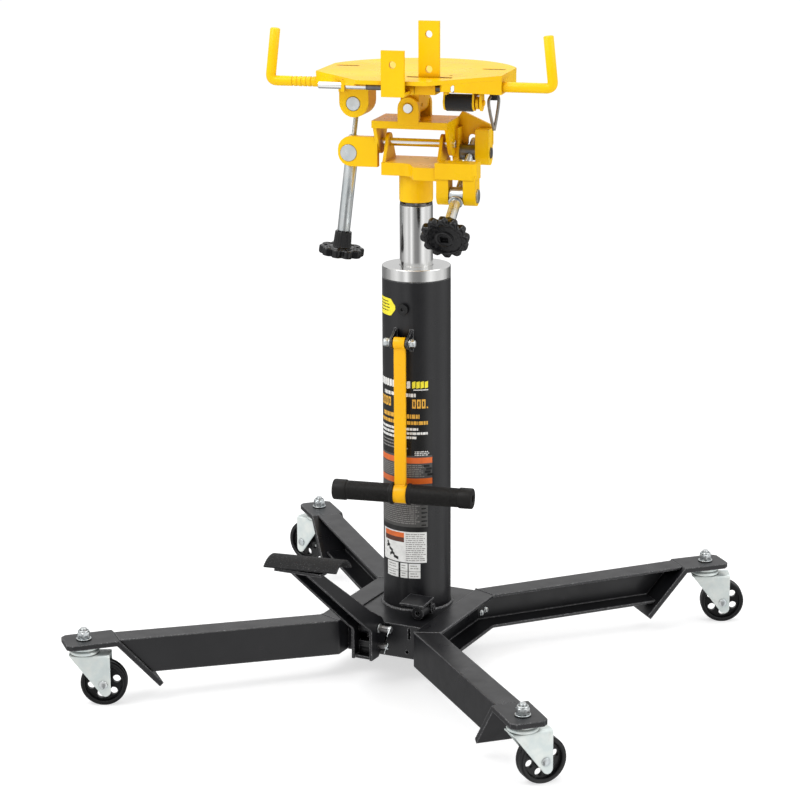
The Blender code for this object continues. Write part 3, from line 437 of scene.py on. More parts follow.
def tube(path, r, n, tip, radii=None):
    """Round bar along a smooth path, with rounded tips."""
    points = [Vector(p) for p in path]
    sizes = list(radii) if radii else [r] * len(points)
    if tip:
        head = (points[1] - points[0]).normalized() * tip
        tail = (points[-2] - points[-1]).normalized() * tip
        points = [points[0], points[0] + head, *points[1:-1], points[-1] + tail, points[-1]]
        sizes = [sizes[0] - tip, sizes[0], *sizes[1:-1], sizes[-1], sizes[-1] - tip]
    side = None
    loops = []
    for i, p in enumerate(points):
        ahead = points[min(i + 1, len(points) - 1)] - points[max(i - 1, 0)]
        ahead.normalize()
        if side is None:
            side = ahead.orthogonal()
        side = (side - ahead * side.dot(ahead)).normalized()
        other = ahead.cross(side)
        loops.append([p + side * c * sizes[i] + other * s * sizes[i] for c, s in circle(1.0, n)])
    return skin(loops)


def bead(path, r):
    """Rippled weld bead along a polyline."""
    pitch = 2.6
    points = [Vector(p) for p in path]
    fine = []
    for a, b in zip(points, points[1:]):
        count = max(1, round((b - a).length / (pitch / 4)))
        fine += [a.lerp(b, i / count) for i in range(count)]
    fine.append(points[-1])
    radii = [r * (1.0 + 0.10 * math.sin(math.tau * i / 4)) for i in range(len(fine))]
    return tube(fine, r, 12, 0.0, radii)


def through(points, per):
    """Smooth curve through points."""
    p = [Vector(q) for q in points]
    p = [p[0] * 2 - p[1], *p, p[-1] * 2 - p[-2]]
    out = []
    for i in range(1, len(p) - 2):
        for k in range(per):
            t = k / per
            out.append(0.5 * (p[i] * 2 + (p[i + 1] - p[i - 1]) * t
                              + (p[i - 1] * 2 - p[i] * 5 + p[i + 1] * 4 - p[i + 2]) * t**2
                              + (p[i] * 3 - p[i - 1] - p[i + 1] * 3 + p[i + 2]) * t**3))
    return out + [p[-2]]


def thread(r, pitch, depth, z0, z1, n=28):
    """Screw thread: the radius follows a rounded triangle wave along a helix, 5 rows to a turn."""
    rows = max(4, round((z1 - z0) / pitch * 5))
    loops = []
    for k in range(rows + 1):
        z = z0 + (z1 - z0) * k / rows
        ends = min(1.0, (z - z0) / (0.8 * pitch), (z1 - z) / (0.8 * pitch))
        loop = []
        for i in range(n):
            phase = (z / pitch - i / n) % 1.0
            height = 1.0 - abs(2.0 * phase - 1.0)
            height = min(1.0, max(0.0, 1.35 * height - 0.15))
            radius = r - depth + depth * height * max(0.0, ends)
            loop.append((radius * math.cos(math.tau * i / n), radius * math.sin(math.tau * i / n), z))
        loops.append(loop)
    return skin(loops)


def hexagon(flats, z0, z1, chamfer=0.10, n=72):
    """Hexagon nut or bolt head with turned chamfers."""
    corner = flats / 2 / math.cos(math.pi / 6)
    top = flats / 2 * 0.97
    loops = []
    height = z1 - z0
    for z, limit in ((z0, top), (z0 + height * chamfer, corner), (z1 - height * chamfer, corner), (z1, top)):
        loop = []
        for i in range(n):
            a = math.tau * i / n
            side = flats / 2 / math.cos((a + math.pi / 6) % (math.pi / 3) - math.pi / 6)
            radius = min(side, limit)
            loop.append((radius * math.cos(a), radius * math.sin(a), z))
        loops.append(loop)
    return skin(loops)


def put(shape, matrix):
    points, faces = shape
    return [matrix @ Vector(p) for p in points], faces


def aimed(origin, direction, side):
    """Matrix with local Z along a direction and local X near side."""
    z = Vector(direction).normalized()
    x = (Vector(side) - z * Vector(side).dot(z)).normalized()
    return Matrix.Translation(Vector(origin)) @ Matrix((x, z.cross(x), z)).transposed().to_4x4()


def along_x(shape, x, y, z):
    """Local (X, Y, Z) laid on (Y, Z, X)."""
    return put(shape, Matrix(((0, 0, 1, x), (1, 0, 0, y), (0, 1, 0, z), (0, 0, 0, 1))))


def along_y(shape, x=0.0, y=0.0, z=0.0):
    """Local (X, Y, Z) laid on (X, Z, Y)."""
    return put(shape, Matrix(((1, 0, 0, x), (0, 0, 1, y), (0, 1, 0, z), (0, 0, 0, 1))))


# ---------------- pieces
# CAD nodes that a finer piece stands in for; piece() adds to them.
REPLACED = set()


def placed(name, data):
    """New object in the scene."""
    obj = bpy.data.objects.new(name, data)
    bpy.context.scene.collection.objects.link(obj)
    return obj


def solid(shape, place):
    """Mesh under construction from a shape, in metres, with its faces turned outwards."""
    points, faces = shape
    work = bmesh.new()
    verts = [work.verts.new((place @ Vector(p)) * MM) for p in points]
    for face in faces:
        work.faces.new([verts[i] for i in face])
    bmesh.ops.remove_doubles(work, verts=work.verts, dist=1e-6)
    bmesh.ops.recalc_face_normals(work, faces=work.faces)
    return work


def piece(name, body, parts, place=UNIT, replaces=(), smooth=35.0):
    """One visible piece from (shape, material) parts, riding on a CAD body."""
    mesh = bpy.data.meshes.new(name)
    work = bmesh.new()
    materials = []
    for shape, finish in parts:
        if finish not in materials:
            materials.append(finish)
        own = solid(shape, place)
        for face in own.faces:
            face.material_index = materials.index(finish)
        part = bpy.data.meshes.new("part")
        own.to_mesh(part)
        own.free()
        work.from_mesh(part)
        bpy.data.meshes.remove(part)
    limit = math.radians(smooth)
    for face in work.faces:
        face.smooth = True
    for edge in work.edges:
        edge.smooth = len(edge.link_faces) == 2 and edge.calc_face_angle(0.0) < limit
    work.to_mesh(mesh)
    work.free()
    for finish in materials:
        mesh.materials.append(finish)
    obj = placed(name, mesh)
    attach(obj, body)
    if replaces:
        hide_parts(*replaces)
        REPLACED.update(replaces)
    return obj


def carve(obj, cutters, place):
    """Cuts shapes out of a piece and keeps the result as its mesh."""
    tools = []
    for i, shape in enumerate(cutters):
        mesh = bpy.data.meshes.new(f"cutter_{i}")
        work = solid(shape, place)
        work.to_mesh(mesh)
        work.free()
        tool = placed(f"cutter_{i}", mesh)
        step = obj.modifiers.new(tool.name, "BOOLEAN")
        step.operation = "DIFFERENCE"
        step.solver = "EXACT"
        step.object = tool
        tools.append(tool)
    bpy.context.view_layer.update()
    graph = bpy.context.evaluated_depsgraph_get()
    result = bpy.data.meshes.new_from_object(obj.evaluated_get(graph), depsgraph=graph)
    obj.modifiers.clear()
    obj.data = result
    for tool in tools:
        bpy.data.objects.remove(tool, do_unlink=True)


def refine(node, material, edge):
    """Keeps a CAD node: merges its facets, rounds its sharp edges and gives it its finish."""
    obj = NODES[node]
    obj.data.materials.clear()
    obj.data.materials.append(material)
    for face in obj.data.polygons:
        face.use_smooth = True
        face.material_index = 0
    if "custom_normal" in obj.data.attributes:
        obj.data.attributes.remove(obj.data.attributes["custom_normal"])
    weld = obj.modifiers.new("weld", "WELD")
    weld.merge_threshold = 2e-6
    flat = obj.modifiers.new("flat", "DECIMATE")
    flat.decimate_type = "DISSOLVE"
    flat.angle_limit = math.radians(0.8)
    bevel = obj.modifiers.new("edges", "BEVEL")
    bevel.limit_method = "ANGLE"
    bevel.angle_limit = math.radians(32.0)
    bevel.width = edge * MM
    bevel.segments = 2
    bevel.use_clamp_overlap = True
    bevel.miter_outer = "MITER_ARC"
    shade = obj.modifiers.new("shading", "WEIGHTED_NORMAL")
    shade.keep_sharp = False
    shade.weight = 80


# ---------------- casters
def pressed_fork(trail, axle_z):
    """Bent sheet fork, laid out row by row from the point of one cheek over the deck to the other."""
    deck, half, sheet, bend_r = 80.5, 16.0, 2.5, 5.0
    tip_r, tip_x, tip_z = 8.0, trail + 3.0, axle_z - 10.5
    rises = (0.1, 0.6, 1.6, 3.2, 5.2, 8.0, 18.0, 32.0, 44.0)
    rows = [(half, tip_z - tip_r + rise, 1.0, 0.0) for rise in rises]
    for k in range(8):
        a = math.radians(90 * k / 7)
        rows.append((half - bend_r + bend_r * math.cos(a), deck - bend_r + bend_r * math.sin(a),
                     math.cos(a), math.sin(a)))
    rows += [(-y, z, -side, up) for y, z, side, up in reversed(rows)]
    loops = []
    for y, z, side, up in rows:
        run = math.sqrt(max(tip_r**2 - min(z - tip_z, 0.0) ** 2, 0.0))
        low, high = tip_x - run, tip_x + run
        if z > tip_z - 4.0:
            share = (z - tip_z + 4.0) / (deck - tip_z + 4.0)
            low = (tip_x - 6.93) * (1 - share) - 22.0 * share
        e = 0.7
        outline = [(low + e, 0), (high - e, 0), (high, e), (high, sheet - e), (high - e, sheet),
                   (low + e, sheet), (low, sheet - e), (low, e)]
        loops.append([(x, y - side * d, z - up * d) for x, d in outline])
    return skin(loops)


def caster(tag, phase):
    """Fork with its raceway and axle, wheel with six holes, stud with washer and nut."""
    pivot, axle = joint_point("caster_turn_" + tag), joint_point("wheel_roll_" + tag)
    run = axle - pivot
    place = Matrix.Translation((pivot.x, pivot.y, 0)) @ Matrix.Rotation(math.atan2(run.y, run.x), 4, "Z")
    trail, axle_z = run.xy.length, axle.z
    plate_top = extents("leg_plate_" + tag)[1].z
    race = [(6.5, 80.6), (20.6, 80.6), (22.0, 81.6), (22.5, 83.4), (21.8, 85.0), (19.8, 86.0), (19.2, 86.7),
            (19.8, 87.4), (21.3, 88.0), (21.8, 89.4), (21.4, 91.2), (20.2, 92.2), (6.5, 92.2)]
    rivet = [(2.0, -19.0), (4.4, -18.7), (6.0, -17.6), (6.4, -16.1), (4.2, -16.0)]
    rivet += [(r, -z) for r, z in reversed(rivet)]
    piece("fork_" + tag, "fork_" + tag, [
        (pressed_fork(trail, axle_z), PALE_ZINC),
        (hoop(race, 64), PALE_ZINC),
        (along_y(lathe(rivet, 28), trail, 0, axle_z), ZINC),
        (hexagon(16.0, 74.9, 78.1, 0.2, 48), ZINC),
    ], place, ("caster_fork_" + tag,))
    half = [(5.4, 12.4), (9.2, 12.4), (10.0, 11.8), (10.8, 9.0), (11.2, 4.4), (12.2, 3.4), (26.2, 3.4),
            (27.0, 4.2), (27.6, 8.6), (28.3, 9.7), (29.0, 10.0), (32.6, 10.0), (33.8, 9.4), (34.4, 8.0),
            (34.5, 6.0), (34.5, 0.9), (34.1, 0.3)]
    section = [(r, -z) for r, z in half] + [(r, z) for r, z in reversed(half)]
    wheel = piece("wheel_" + tag, "wheel_" + tag, [(along_y(hoop(section, 72), trail, 0, axle_z), WHEEL)],
                  place, ("caster_wheel_" + tag,))
    holes = [along_y(lathe([(6.0, -20), (6.0, 20)], 28), trail + x, 0, axle_z + z)
             for x, z in circle(19.5, 6, math.radians(phase))]
    carve(wheel, holes, place)
    top = plate_top + 2.4
    collar = [(r, top + z) for r, z in ((8.3, 9.2), (8.3, 11.2), (7.8, 11.9), (6.4, 12.0), (5.7, 11.2),
                                        (4.6, 11.0))]
    piece("stem_" + tag, "base", [
        (pin(6.0, 81.0, 101.0, 0.4, 32), ZINC),
        (pin(11.3, plate_top + 0.3, top, 0.6), ZINC),
        (hexagon(17.0, top, top + 9.5), ZINC),
        (lathe(collar, 40), ZINC),
        (thread(5.0, 1.5, 0.6, top + 8.0, top + 15.5), ZINC),
    ], place, ("caster_stem_" + tag,))


for caster_tag, hole_phase in (("fl", 15.0), ("fr", 15.0), ("rl", 15.0), ("rr", 35.0)):
    caster(caster_tag, hole_phase)


# ---------------- knobs and screws
UNIT_X, UNIT_Y = UNIT.to_3x3() @ Vector((1, 0, 0)), UNIT.to_3x3() @ Vector((0, 1, 0))
DOWEL, SWIVEL = joint_point("dowel_turn"), joint_point("front_swivel_turn")
SIDE_RUN = joint_point("trunnion_turn") - DOWEL
SIDE_AXIS = aimed(DOWEL, SIDE_RUN, UNIT_Y)
FRONT_AXIS = aimed(SWIVEL, SWIVEL - joint_point("front_nut_turn"), UNIT_X)


def hand_knob(name, body, place, start, face, r, hub, lobes, bore):
    """Moulded star knob: bored and fluted hub, pockets behind the lobes, ring and drive in its face."""
    n = lobes * 12
    loops = []

    def row(z, size, lobed=0.0, flute=0.0, rib=0.0):
        loop = []
        for i in range(n):
            a = math.tau * i / n
            wave = 0.5 - 0.5 * math.cos(lobes * a)
            groove = 0.5 - 0.5 * math.cos(2 * lobes * a)
            radius = size - lobed * 5.8 * size / r * wave**2.2 - flute * groove**1.5
            loop.append((radius * math.cos(a), radius * math.sin(a), z - rib * (1.0 - wave) ** 3))
        loops.append(loop)

    for z, size in ((bore, 8.3), (start + 0.7, 8.3), (start, 9.0), (start, hub - 0.7)):
        row(z, size)
    row(start + 0.8, hub, flute=0.7)
    row(face - 15.5, hub + 1.2, flute=0.9)
    row(face - 13.4, hub + 2.0, flute=0.6)
    row(face - 12.9, hub + 4.0)
    row(face - 12.7, hub + 5.6)
    row(face - 10.6, hub + 6.6, rib=1.6)
    row(face - 10.4, 0.78 * r, 0.9, rib=1.8)
    row(face - 12.6, 0.83 * r, 1.0)
    row(face - 13.0, 0.88 * r, 1.0)
    for drop, scale in ((12.7, 0.94), (11.7, 0.985), (10.0, 1.0), (3.4, 1.0), (1.6, 0.985), (0.5, 0.95),
                        (0.0, 0.90)):
        row(face - drop, scale * r, 1.0)
    row(face, 0.80 * r, 0.8)
    for drop, size in ((0.0, 0.74 * r), (0.6, 0.72 * r), (2.6, 0.71 * r), (2.6, 14.4), (1.0, 13.8),
                       (0.4, 12.6), (0.4, 10.5)):
        row(face - drop, size)
    made = piece(name, body, [(skin(loops), KNOB)], place, (name,), 40.0)
    drive = [[(x, y, z) for x, y in rect(-6, 6, -6, 6)] for z in (face - 6, face + 1)]
    carve(made, [skin(drive)], place)


hand_knob("side_knob", "side_knob", SIDE_AXIS, start=198.0, face=234.5, r=34.2, hub=12.6, lobes=10,
          bore=206.4)
hand_knob("front_knob", "front_screw", FRONT_AXIS, start=60.0, face=97.0, r=36.2, hub=12.0, lobes=12,
          bore=70.4)
piece("side_screw", "side_screw", [(thread(3.9, 1.5, 0.6, -8.5, 138.0, 20), ZINC)], SIDE_AXIS,
      ("side_screw",), 50.0)
sleeve = [(r, SIDE_RUN.length + z) for r, z in ((4.3, -24), (7.0, -24), (7.8, -22.6), (8.0, -21), (8.0, 17),
                                                (9.2, 17.3), (9.6, 18))]
sleeve += [(9.6, 196.2), (9.2, 197), (8.0, 197.3), (8.0, 205.8), (4.3, 205.8)]
piece("side_sleeve", "side_knob", [(hoop(sleeve, 72), ZINC)], SIDE_AXIS, ("side_sleeve",))
shoulder = [(5.4, 7.0), (5.6, 13.2), (10.2, 13.3), (10.8, 13.8), (10.8, 16.0), (10.2, 16.5), (8.0, 16.6),
            (8.0, 70.0)]
piece("front_screw", "front_screw", [
    (thread(6.0, 2.0, 0.8, -126.0, 10.0), ZINC),
    (lathe(shoulder, 64), ZINC),
], FRONT_AXIS, ("front_screw",), 50.0)


# ---------------- handle grips
GRIP = (extents("grip_left", UNIT), extents("grip_right", UNIT))
GRIP_X = (GRIP[0][0].x + GRIP[1][1].x) / 2
GRIP_Y, GRIP_Z = ((GRIP[0][0] + GRIP[0][1]) / 2).yz


def grip(name, inner, outer):
    """Rubber sleeve: flange by the arm, finely ribbed body, smooth end collar with its vent."""
    length = abs(outer - inner)
    outline = [(11.4, 0.0), (15.8, 0.0), (16.5, 0.8), (16.5, 4.2), (16.0, 5.0), (15.0, 5.6), (14.6, 6.6)]
    z = 7.4
    while z < length - 24.0:
        outline += [(14.6, z), (14.6, z + 1.1), (14.2, z + 1.4), (14.2, z + 1.8)]
        z += 2.1
    outline += [(14.5, length - 21.2), (15.6, length - 20.6), (15.8, length - 19.6), (15.8, length - 2.4),
                (15.4, length - 0.8), (14.2, length), (6.8, length), (6.0, length - 0.8), (6.0, length - 2.4),
                (11.4, length - 2.4)]
    if outer < inner:
        outline = [(r, -z) for r, z in outline]
    piece(name, "handle", [(along_x(hoop(outline, 64), inner, GRIP_Y, GRIP_Z), RUBBER)], UNIT, (name,))


RING_LEFT, RING_RIGHT = -16.2, 4.4
grip("grip_left", RING_LEFT - 0.3, GRIP[0][0].x)
grip("grip_right", RING_RIGHT + 0.3, GRIP[1][1].x)


def handle_arm():
    """Flat bar with a rolled eye on the pin and the T-bar welded through its ring."""
    top = UNIT.inverted() @ joint_point("handle_lift")
    x0, x1 = top.x - 8.8, top.x + 8.8
    outline = fillet(rect(x0, x1, GRIP_Y - 4.0, GRIP_Y + 4.0), 1.6)
    bar = skin([[(x, y, z) for x, y in outline] for z in (GRIP_Z + 11.5, top.z - 6.6)])

    def band(outer, inner, a, b, z):
        section = [(inner, a), (outer - 0.8, a), (outer - 0.2, a + 0.2), (outer, a + 0.8),
                   (outer, b - 0.8), (outer - 0.2, b - 0.2), (outer - 0.8, b), (inner, b)]
        return along_x(hoop(section, 56), 0, GRIP_Y, z), ARM_YELLOW_SHADED

    bar_ends = rect(8.5, 11.0, GRIP_X - 105.0, GRIP_X + 105.0)
    weld_run = RING_RIGHT - RING_LEFT - 6
    weld = [(RING_LEFT + 3 + k * weld_run / 8, GRIP_Y - 4.6, GRIP_Z + 13.6) for k in range(9)]
    piece("handle_arm", "handle", [
        (bar, ARM_YELLOW_SHADED),
        band(8.7, 5.3, x0, x1, top.z),
        band(14.5, 10.8, RING_LEFT, RING_RIGHT, GRIP_Z),
        (along_x(hoop(bar_ends, 48), 0, GRIP_Y, GRIP_Z), ARM_YELLOW_SHADED),
        (bead(weld, 1.5), ARM_YELLOW_SHADED),
    ], UNIT, ("handle_arm",))


handle_arm()
low, high = extents("handle_pin", UNIT)
end = (high.x - low.x) / 2
tip = [(5.8, end - 3.0), (5.6, end - 1.6), (4.4, end - 0.5), (2.2, end)]
bolt = [pin(5.0, -end + 1.0, end - 1.0, 0.6), hexagon(11.6, -end, -end + 8.6, 0.16),
        pin(6.7, -end + 8.4, -end + 10.2, 0.4), pin(6.7, end - 10.2, end - 8.4, 0.4),
        hexagon(11.6, end - 8.6, end - 2.6, 0.16), lathe(tip, 40)]
piece("handle_pin", "base", [(along_x(shape, *((low + high) / 2)), ZINC) for shape in bolt], UNIT,
      ("handle_pin",))


# ---------------- pedal pins
PEDAL = joint_point("pump_stroke") - COLUMN


def clipped_pin(name, body, r, drop):
    """Headed pin with a groove washer and a spring clip through its end."""
    x0, x1 = (corner.x for corner in extents(name))
    y, z = PEDAL.y, PEDAL.z - drop
    parts = [
        (along_x(pin(r, x0, x1 - 4.0, 1.0), 0, y, z), STEEL),
        (along_x(pin(r - 0.2, x1 - 5.0, x1, 1.0), 0, y, z), ZINC),
        (along_x(pin(r + 3.6, x0 + 1.7, x0 + 3.9, 0.5), 0, y, z), ZINC),
        (along_x(pin(r + 2.2, x1 - 20.6, x1 - 18.8, 0.4), 0, y, z), ZINC),
    ]
    wire = [(x1 - 3.2 + dx, y + dy, z + dz) for dx, dy, dz in (
        (0, 4.5, 4.0), (0, 0, 0), (0, -5, -4.5), (0.8, -9, -7), (2.0, -11, -5), (2.2, -8, -1.5),
        (2.2, -4, 2.2))]
    parts.append((tube(through(wire, 6), 0.9, 12, 0.3), ZINC))
    back = [(x0 + 0.8, y + 8.5 * math.cos(0.35 * k), z + 8.5 * math.sin(0.35 * k)) for k in range(3, 15)]
    parts.append((tube(back, 1.1, 12, 0.3), ZINC))
    piece(name, body, parts, BASE, (name,))


clipped_pin("pedal_pivot_pin", "base", 5.1, 0.0)
clipped_pin("pedal_link_pin", "pump_pedal", 4.0, 28.0)


# ---------------- head details
ROD_Y, ROD_Z, ROD_R, ROD_REACH = -35.0, 894.5, 7.5, 214.0


def arm_rod(name, body, side, lean, top, grooves):
    """Bent retaining rod with stop grooves and rounded tips."""
    stations = [(96.0, ROD_R)]
    for i in range(grooves):
        x = 149.0 + 7.3 * i
        stations += [(x - 1.5, ROD_R), (x - 1.1, 6.7), (x + 1.1, 6.7), (x + 1.5, ROD_R)]
    corner = (side * ROD_REACH, ROD_Y, ROD_Z)
    tip = (side * (ROD_REACH - lean), ROD_Y, top)
    curve = fillet([(side * 190.0, ROD_Y, ROD_Z), corner, tip], 16.5, 14, closed=False)
    path = [(side * x, ROD_Y, ROD_Z) for x, r in stations] + curve
    radii = [r for x, r in stations] + [ROD_R] * len(curve)
    piece(name, body, [(tube(path, ROD_R, 36, 1.4, radii), YELLOW)], UNIT, (name,), 50.0)


arm_rod("arm_rod_left", "rod_left", -1, 9.0, 972.0, 5)
arm_rod("arm_rod_right", "rod_right", 1, 8.0, 970.0, 0)

BAR = extents("bracket_bar", UNIT)
BAR_Y, BAR_Z = ((BAR[0] + BAR[1]) / 2).yz
# Dark band round the middle of the bracket bar, riding on the saddle: painted reflection of the saddle's dark
# underside.
piece("bar_painted_reflection", "saddle", [(along_x(pin(5.2, -46.0, 66.0, 0.2, 40), 0, BAR_Y, BAR_Z), STEEL)])
STRAP_X, STRAP_Y, STRAP_Z = (61.7, 100.8), -57.0, 873.5


def strap_roll():
    """Webbing wound on its spool: one long spiral with ribs across its width."""
    turns, inner, outer, thick = 5, 5.0, 13.5, 1.35
    steps = turns * 40
    rows = 48
    loops = []
    for k in range(rows + 1):
        x = STRAP_X[0] + (STRAP_X[1] - STRAP_X[0]) * k / rows
        swell = -0.15 if k in (0, rows) else (-0.05, 0.10)[k % 2]
        outside, inside = [], []
        for i in range(steps + 1):
            a = math.tau * turns * i / steps
            r = inner + (outer - inner) * i / steps
            outside.append(((r + swell) * math.cos(a), (r + swell) * math.sin(a), x))
            inside.append(((r - thick - swell) * math.cos(a), (r - thick - swell) * math.sin(a), x))
        loops.append(outside + inside[::-1])
    piece("strap_roll", "strap_roll", [
        (along_x(skin(loops), 0, STRAP_Y, STRAP_Z), STRAP),
        (along_x(hoop(rect(4.4, 4.9, *STRAP_X), 32), 0, STRAP_Y, STRAP_Z), STEEL),
    ], UNIT, ("strap_roll",), 50.0)


strap_roll()
HOOK = [(118, -12, 880), (114.5, -18, 868), (119.5, -9.5, 832), (121.5, -7.5, 832), (125.5, 0, 868),
        (124, -4, 880)]
loop_end = slab(fillet(rect(115, 127, -16, 1), 2.5), 872.0, 905.7, 1.0)
piece("strap_hook", "saddle", [
    (tube(through(HOOK, 7), 2.3, 20, 0.5), HOOK_STEEL),
    (loop_end, STRAP),
], UNIT, ("strap_hook",))


# ---------------- foot pedal pad
PAD_PLACE = BASE @ Matrix.Translation((-7.0, -343.0, 256.0)) @ Matrix.Rotation(math.radians(8), 4, "Z")


def pedal_pad():
    """Curved rubber pad with softly rounded rims."""
    centre_y, centre_z, r, left, right = -2.0, -49.0, 50.0, -57.0, 53.0
    first, last = 38, 124
    loops = []
    for turned in (first, 38.6, 39.6, *range(42, 121, 3), 122.4, 123.4, last):
        lift = 1.0 if turned in (first, last) else 0.0
        c, s = math.cos(math.radians(turned)), math.sin(math.radians(turned))
        top, low = r - lift, r - 3.6 + lift * 0.6
        outline = [(left + 1.0, top), (right - 1.0, top), (right, top - 0.9), (right, low + 0.9),
                   (right - 1.0, low), (left + 1.0, low), (left, low + 0.9), (left, top - 0.9)]
        loops.append([(x, centre_y + rad * c, centre_z + rad * s) for x, rad in outline])
    piece("pedal_pad", "pump_pedal", [(skin(loops), PAD)], PAD_PLACE, ("pedal_pad",))


pedal_pad()
shoe = rect(PEDAL.x - 12.6, PEDAL.x + 12.6, 44.0, 68.0)
piece("pedal_shoe", "pump_pedal", [(plate(shoe, PEDAL.y - 9.0, PEDAL.y - 7.4), BLACK)], BASE)


# ---------------- painted shade in the slots of the saddle
saddle_top = extents("saddle_plate", UNIT)[1].z
slot_shade_sheets = []
# Dark sheets on the far wall of each slot: painted shade, standing in for the shadow inside the slots.
for x0, x1, y in ((-129.0, -95.0, 31.9), (95.0, 129.0, 31.9), (9.3, 75.7, -80.1)):
    slot_shade_sheets.append((plate(rect(x0, x1, saddle_top - 5.0, saddle_top - 0.3), y - 0.7, y), BROWN))
piece("painted_slot_shade", "saddle", slot_shade_sheets)


# ---------------- weld beads
tray_top = extents("base_tray", BASE)[1].z
beads = [(bead(ring_path(53.2, tray_top + 0.2, 60), 2.6), BLACK)]
across = 38.0 * math.tan(math.radians(22.5))
for side in (-1, 1):
    for mitre_y, way in ((-144.0, 1), (80.5, -1)):
        path = [(side * 63.2, mitre_y, 90.2), (side * 100.2, mitre_y + way * across, 90.2)]
        beads.append((bead(path, 1.3), BLACK))
for tag in ("fl", "fr", "rl", "rr"):
    verts = [BASE.inverted() @ (v.co / MM) for v in NODES["leg_plate_" + tag].data.vertices]
    top = max(v.z for v in verts)
    rim = sorted((v for v in verts if v.z > top - 0.05), key=lambda v: v.xy.length)
    ends = [rim[0], max(rim[:4], key=lambda v: (v - rim[0]).length)]
    beads.append((bead([(v.x, v.y, top - 1.2) for v in ends], 2.0), BLACK))
piece("base_welds", "base", beads, BASE, smooth=60.0)
low, high = extents("base_tray")
backing = plate(rect(low.x + 4, high.x - 4, low.z + 0.5, high.z - 4), low.y + 9, low.y + 11)
piece("tray_backing", "base", [(backing, BLACK)], BASE)
bolts = []
for y in (18.0, 34.0):
    bolts.append((along_x(hexagon(7.0, 0, 3.2, 0.2, 36), 101.0, y, 76.0), ZINC))
    bolts.append((along_x(pin(4.6, -0.8, 0.6, 0.3, 32), 101.0, y, 76.0), ZINC))
piece("rail_bolts", "base", bolts, BASE)
# The welds of the handle ears run just under the skin of the column.
WELD_R = 51.5
ear_welds = []
for x0, x1 in ((-21.3, -17.8), (3.8, 7.3)):
    for x in (x0 - 0.4, x1 + 0.4):
        root = -math.sqrt(WELD_R**2 - x**2)
        ear_welds.append((bead([(x, root, 497.0), (x, root, 531.0)], 1.3), BLACK))
piece("ear_welds", "base", ear_welds, smooth=60.0)
piece("socket_weld", "lower_head", [(bead(ring_path(26.0, 758.4, 45), 1.8), YELLOW)],
      smooth=60.0)


# ---------------- labels on the column
LABEL_R = 52.04


def patch(finish, a0, a1, z0, z1, layer=0, slant=0.0):
    """Thin print on the column, from angle a0 to a1 (degrees from the front towards +X)."""
    inner, outer = LABEL_R, LABEL_R + 0.10 + 0.06 * layer
    steps = max(1, math.ceil((a1 - a0) / 3.0))
    loops = []
    for i in range(steps + 1):
        a = math.radians(a0 + (a1 - a0) * i / steps)
        rise = slant * i / steps
        c, s = math.sin(a), -math.cos(a)
        loops.append([(r * c, r * s, z + rise) for r, z in rect(inner, outer, z0, z1)])
    return skin(loops), finish


WORDS = (5.0, 2.6, 7.4, 3.8, 6.2, 2.2, 8.4, 4.4, 3.2, 6.8, 5.6, 2.8)


def lines(a0, a1, z_top, count, pitch, height, finish, ragged, big=1.0, gap=1.1):
    """Rows of word-sized blocks that stand for printed text."""
    out = []
    for i in range(count):
        end = a1 - ragged * (0.5 + 0.5 * math.sin(2.4 * i + a0))
        z = z_top - pitch * i
        a, k = a0, 5 * i + count
        while a < end - 1.0:
            width = min(WORDS[k % len(WORDS)] * big, end - a)
            out.append(patch(finish, a, a + width, z - height, z, 1))
            a += width + gap
            k += 1
    return out


# Rating label: three grounds, two orange bands, then slanted blocks where a maker would print a
# name and a row of blocks for the capacity.
rating = [
    patch(INK, -56, 52, 335, 452), patch(GREY, -56, 52, 285, 335), patch(GREY, -54, 44, 222, 285),
    patch(INK, -52, 44, 216.5, 222), patch(ORANGE, -56, 52, 323.0, 332.0, 1),
    patch(ORANGE, -56, 52, 290.5, 299.5, 1), patch(PAPER, 20, 45, 437.0, 438.4, 1),
    patch(GOLD, 42.5, 44.5, 409.0, 411.6, 1),
]
for a in range(-54, 10, 7):
    rating.append(patch(PAPER, a, a + 5.8, 439.5, 450.5, 1, 0.8))
for a in (18, 25, 32, 39):
    rating.append(patch(LEMON, a, a + 5.6, 440.0, 450.0, 1, 1.2))
for a in (-53, -45, -37, -29, 18, 26, 34):
    rating.append(patch(GOLD, a, a + 6.2, 409.0, 423.0, 1))
    rating.append(patch(INK, a + 2.0, a + 4.2, 412.0, 420.0, 2))
for a, z in ((37, 317), (41, 312.4), (39, 307.8), (43, 303.2)):
    rating.append(patch(INK, a, a + 10, z, z + 3.6, 2))
for i in range(9):
    rating.append(patch(INK, 33, 41 + 2 * (i % 2), 224.0 + 6.6 * i, 226.2 + 6.6 * i, 1))
for rows in (
    (-42, 24, 432.0, 1, 4, 5.4, PAPER, 0.0, 0.7),
    (-46, 30, 399.5, 1, 4, 6.4, GOLD, 0.0, 0.8),
    (-54, 46, 389.0, 1, 4, 5.4, GOLD, 0.0, 0.8),
    (-54, 46, 378.4, 3, 6.6, 3.8, PAPER, 22.0, 1.0, 0.8),
    (-50, 12, 357.0, 3, 5.0, 2.0, PALE_INK, 8.0),
    (22, 47, 342.0, 3, 2.6, 1.4, PAPER, 3.0, 0.6),
    (-54, 38, 320.5, 7, 2.9, 1.3, PALE_INK, 6.0),
    (-50, 30, 278.0, 17, 3.1, 1.3, PALE_INK, 7.0),
):
    rating += lines(*rows)
piece("rating_label", "base", rating, BASE)

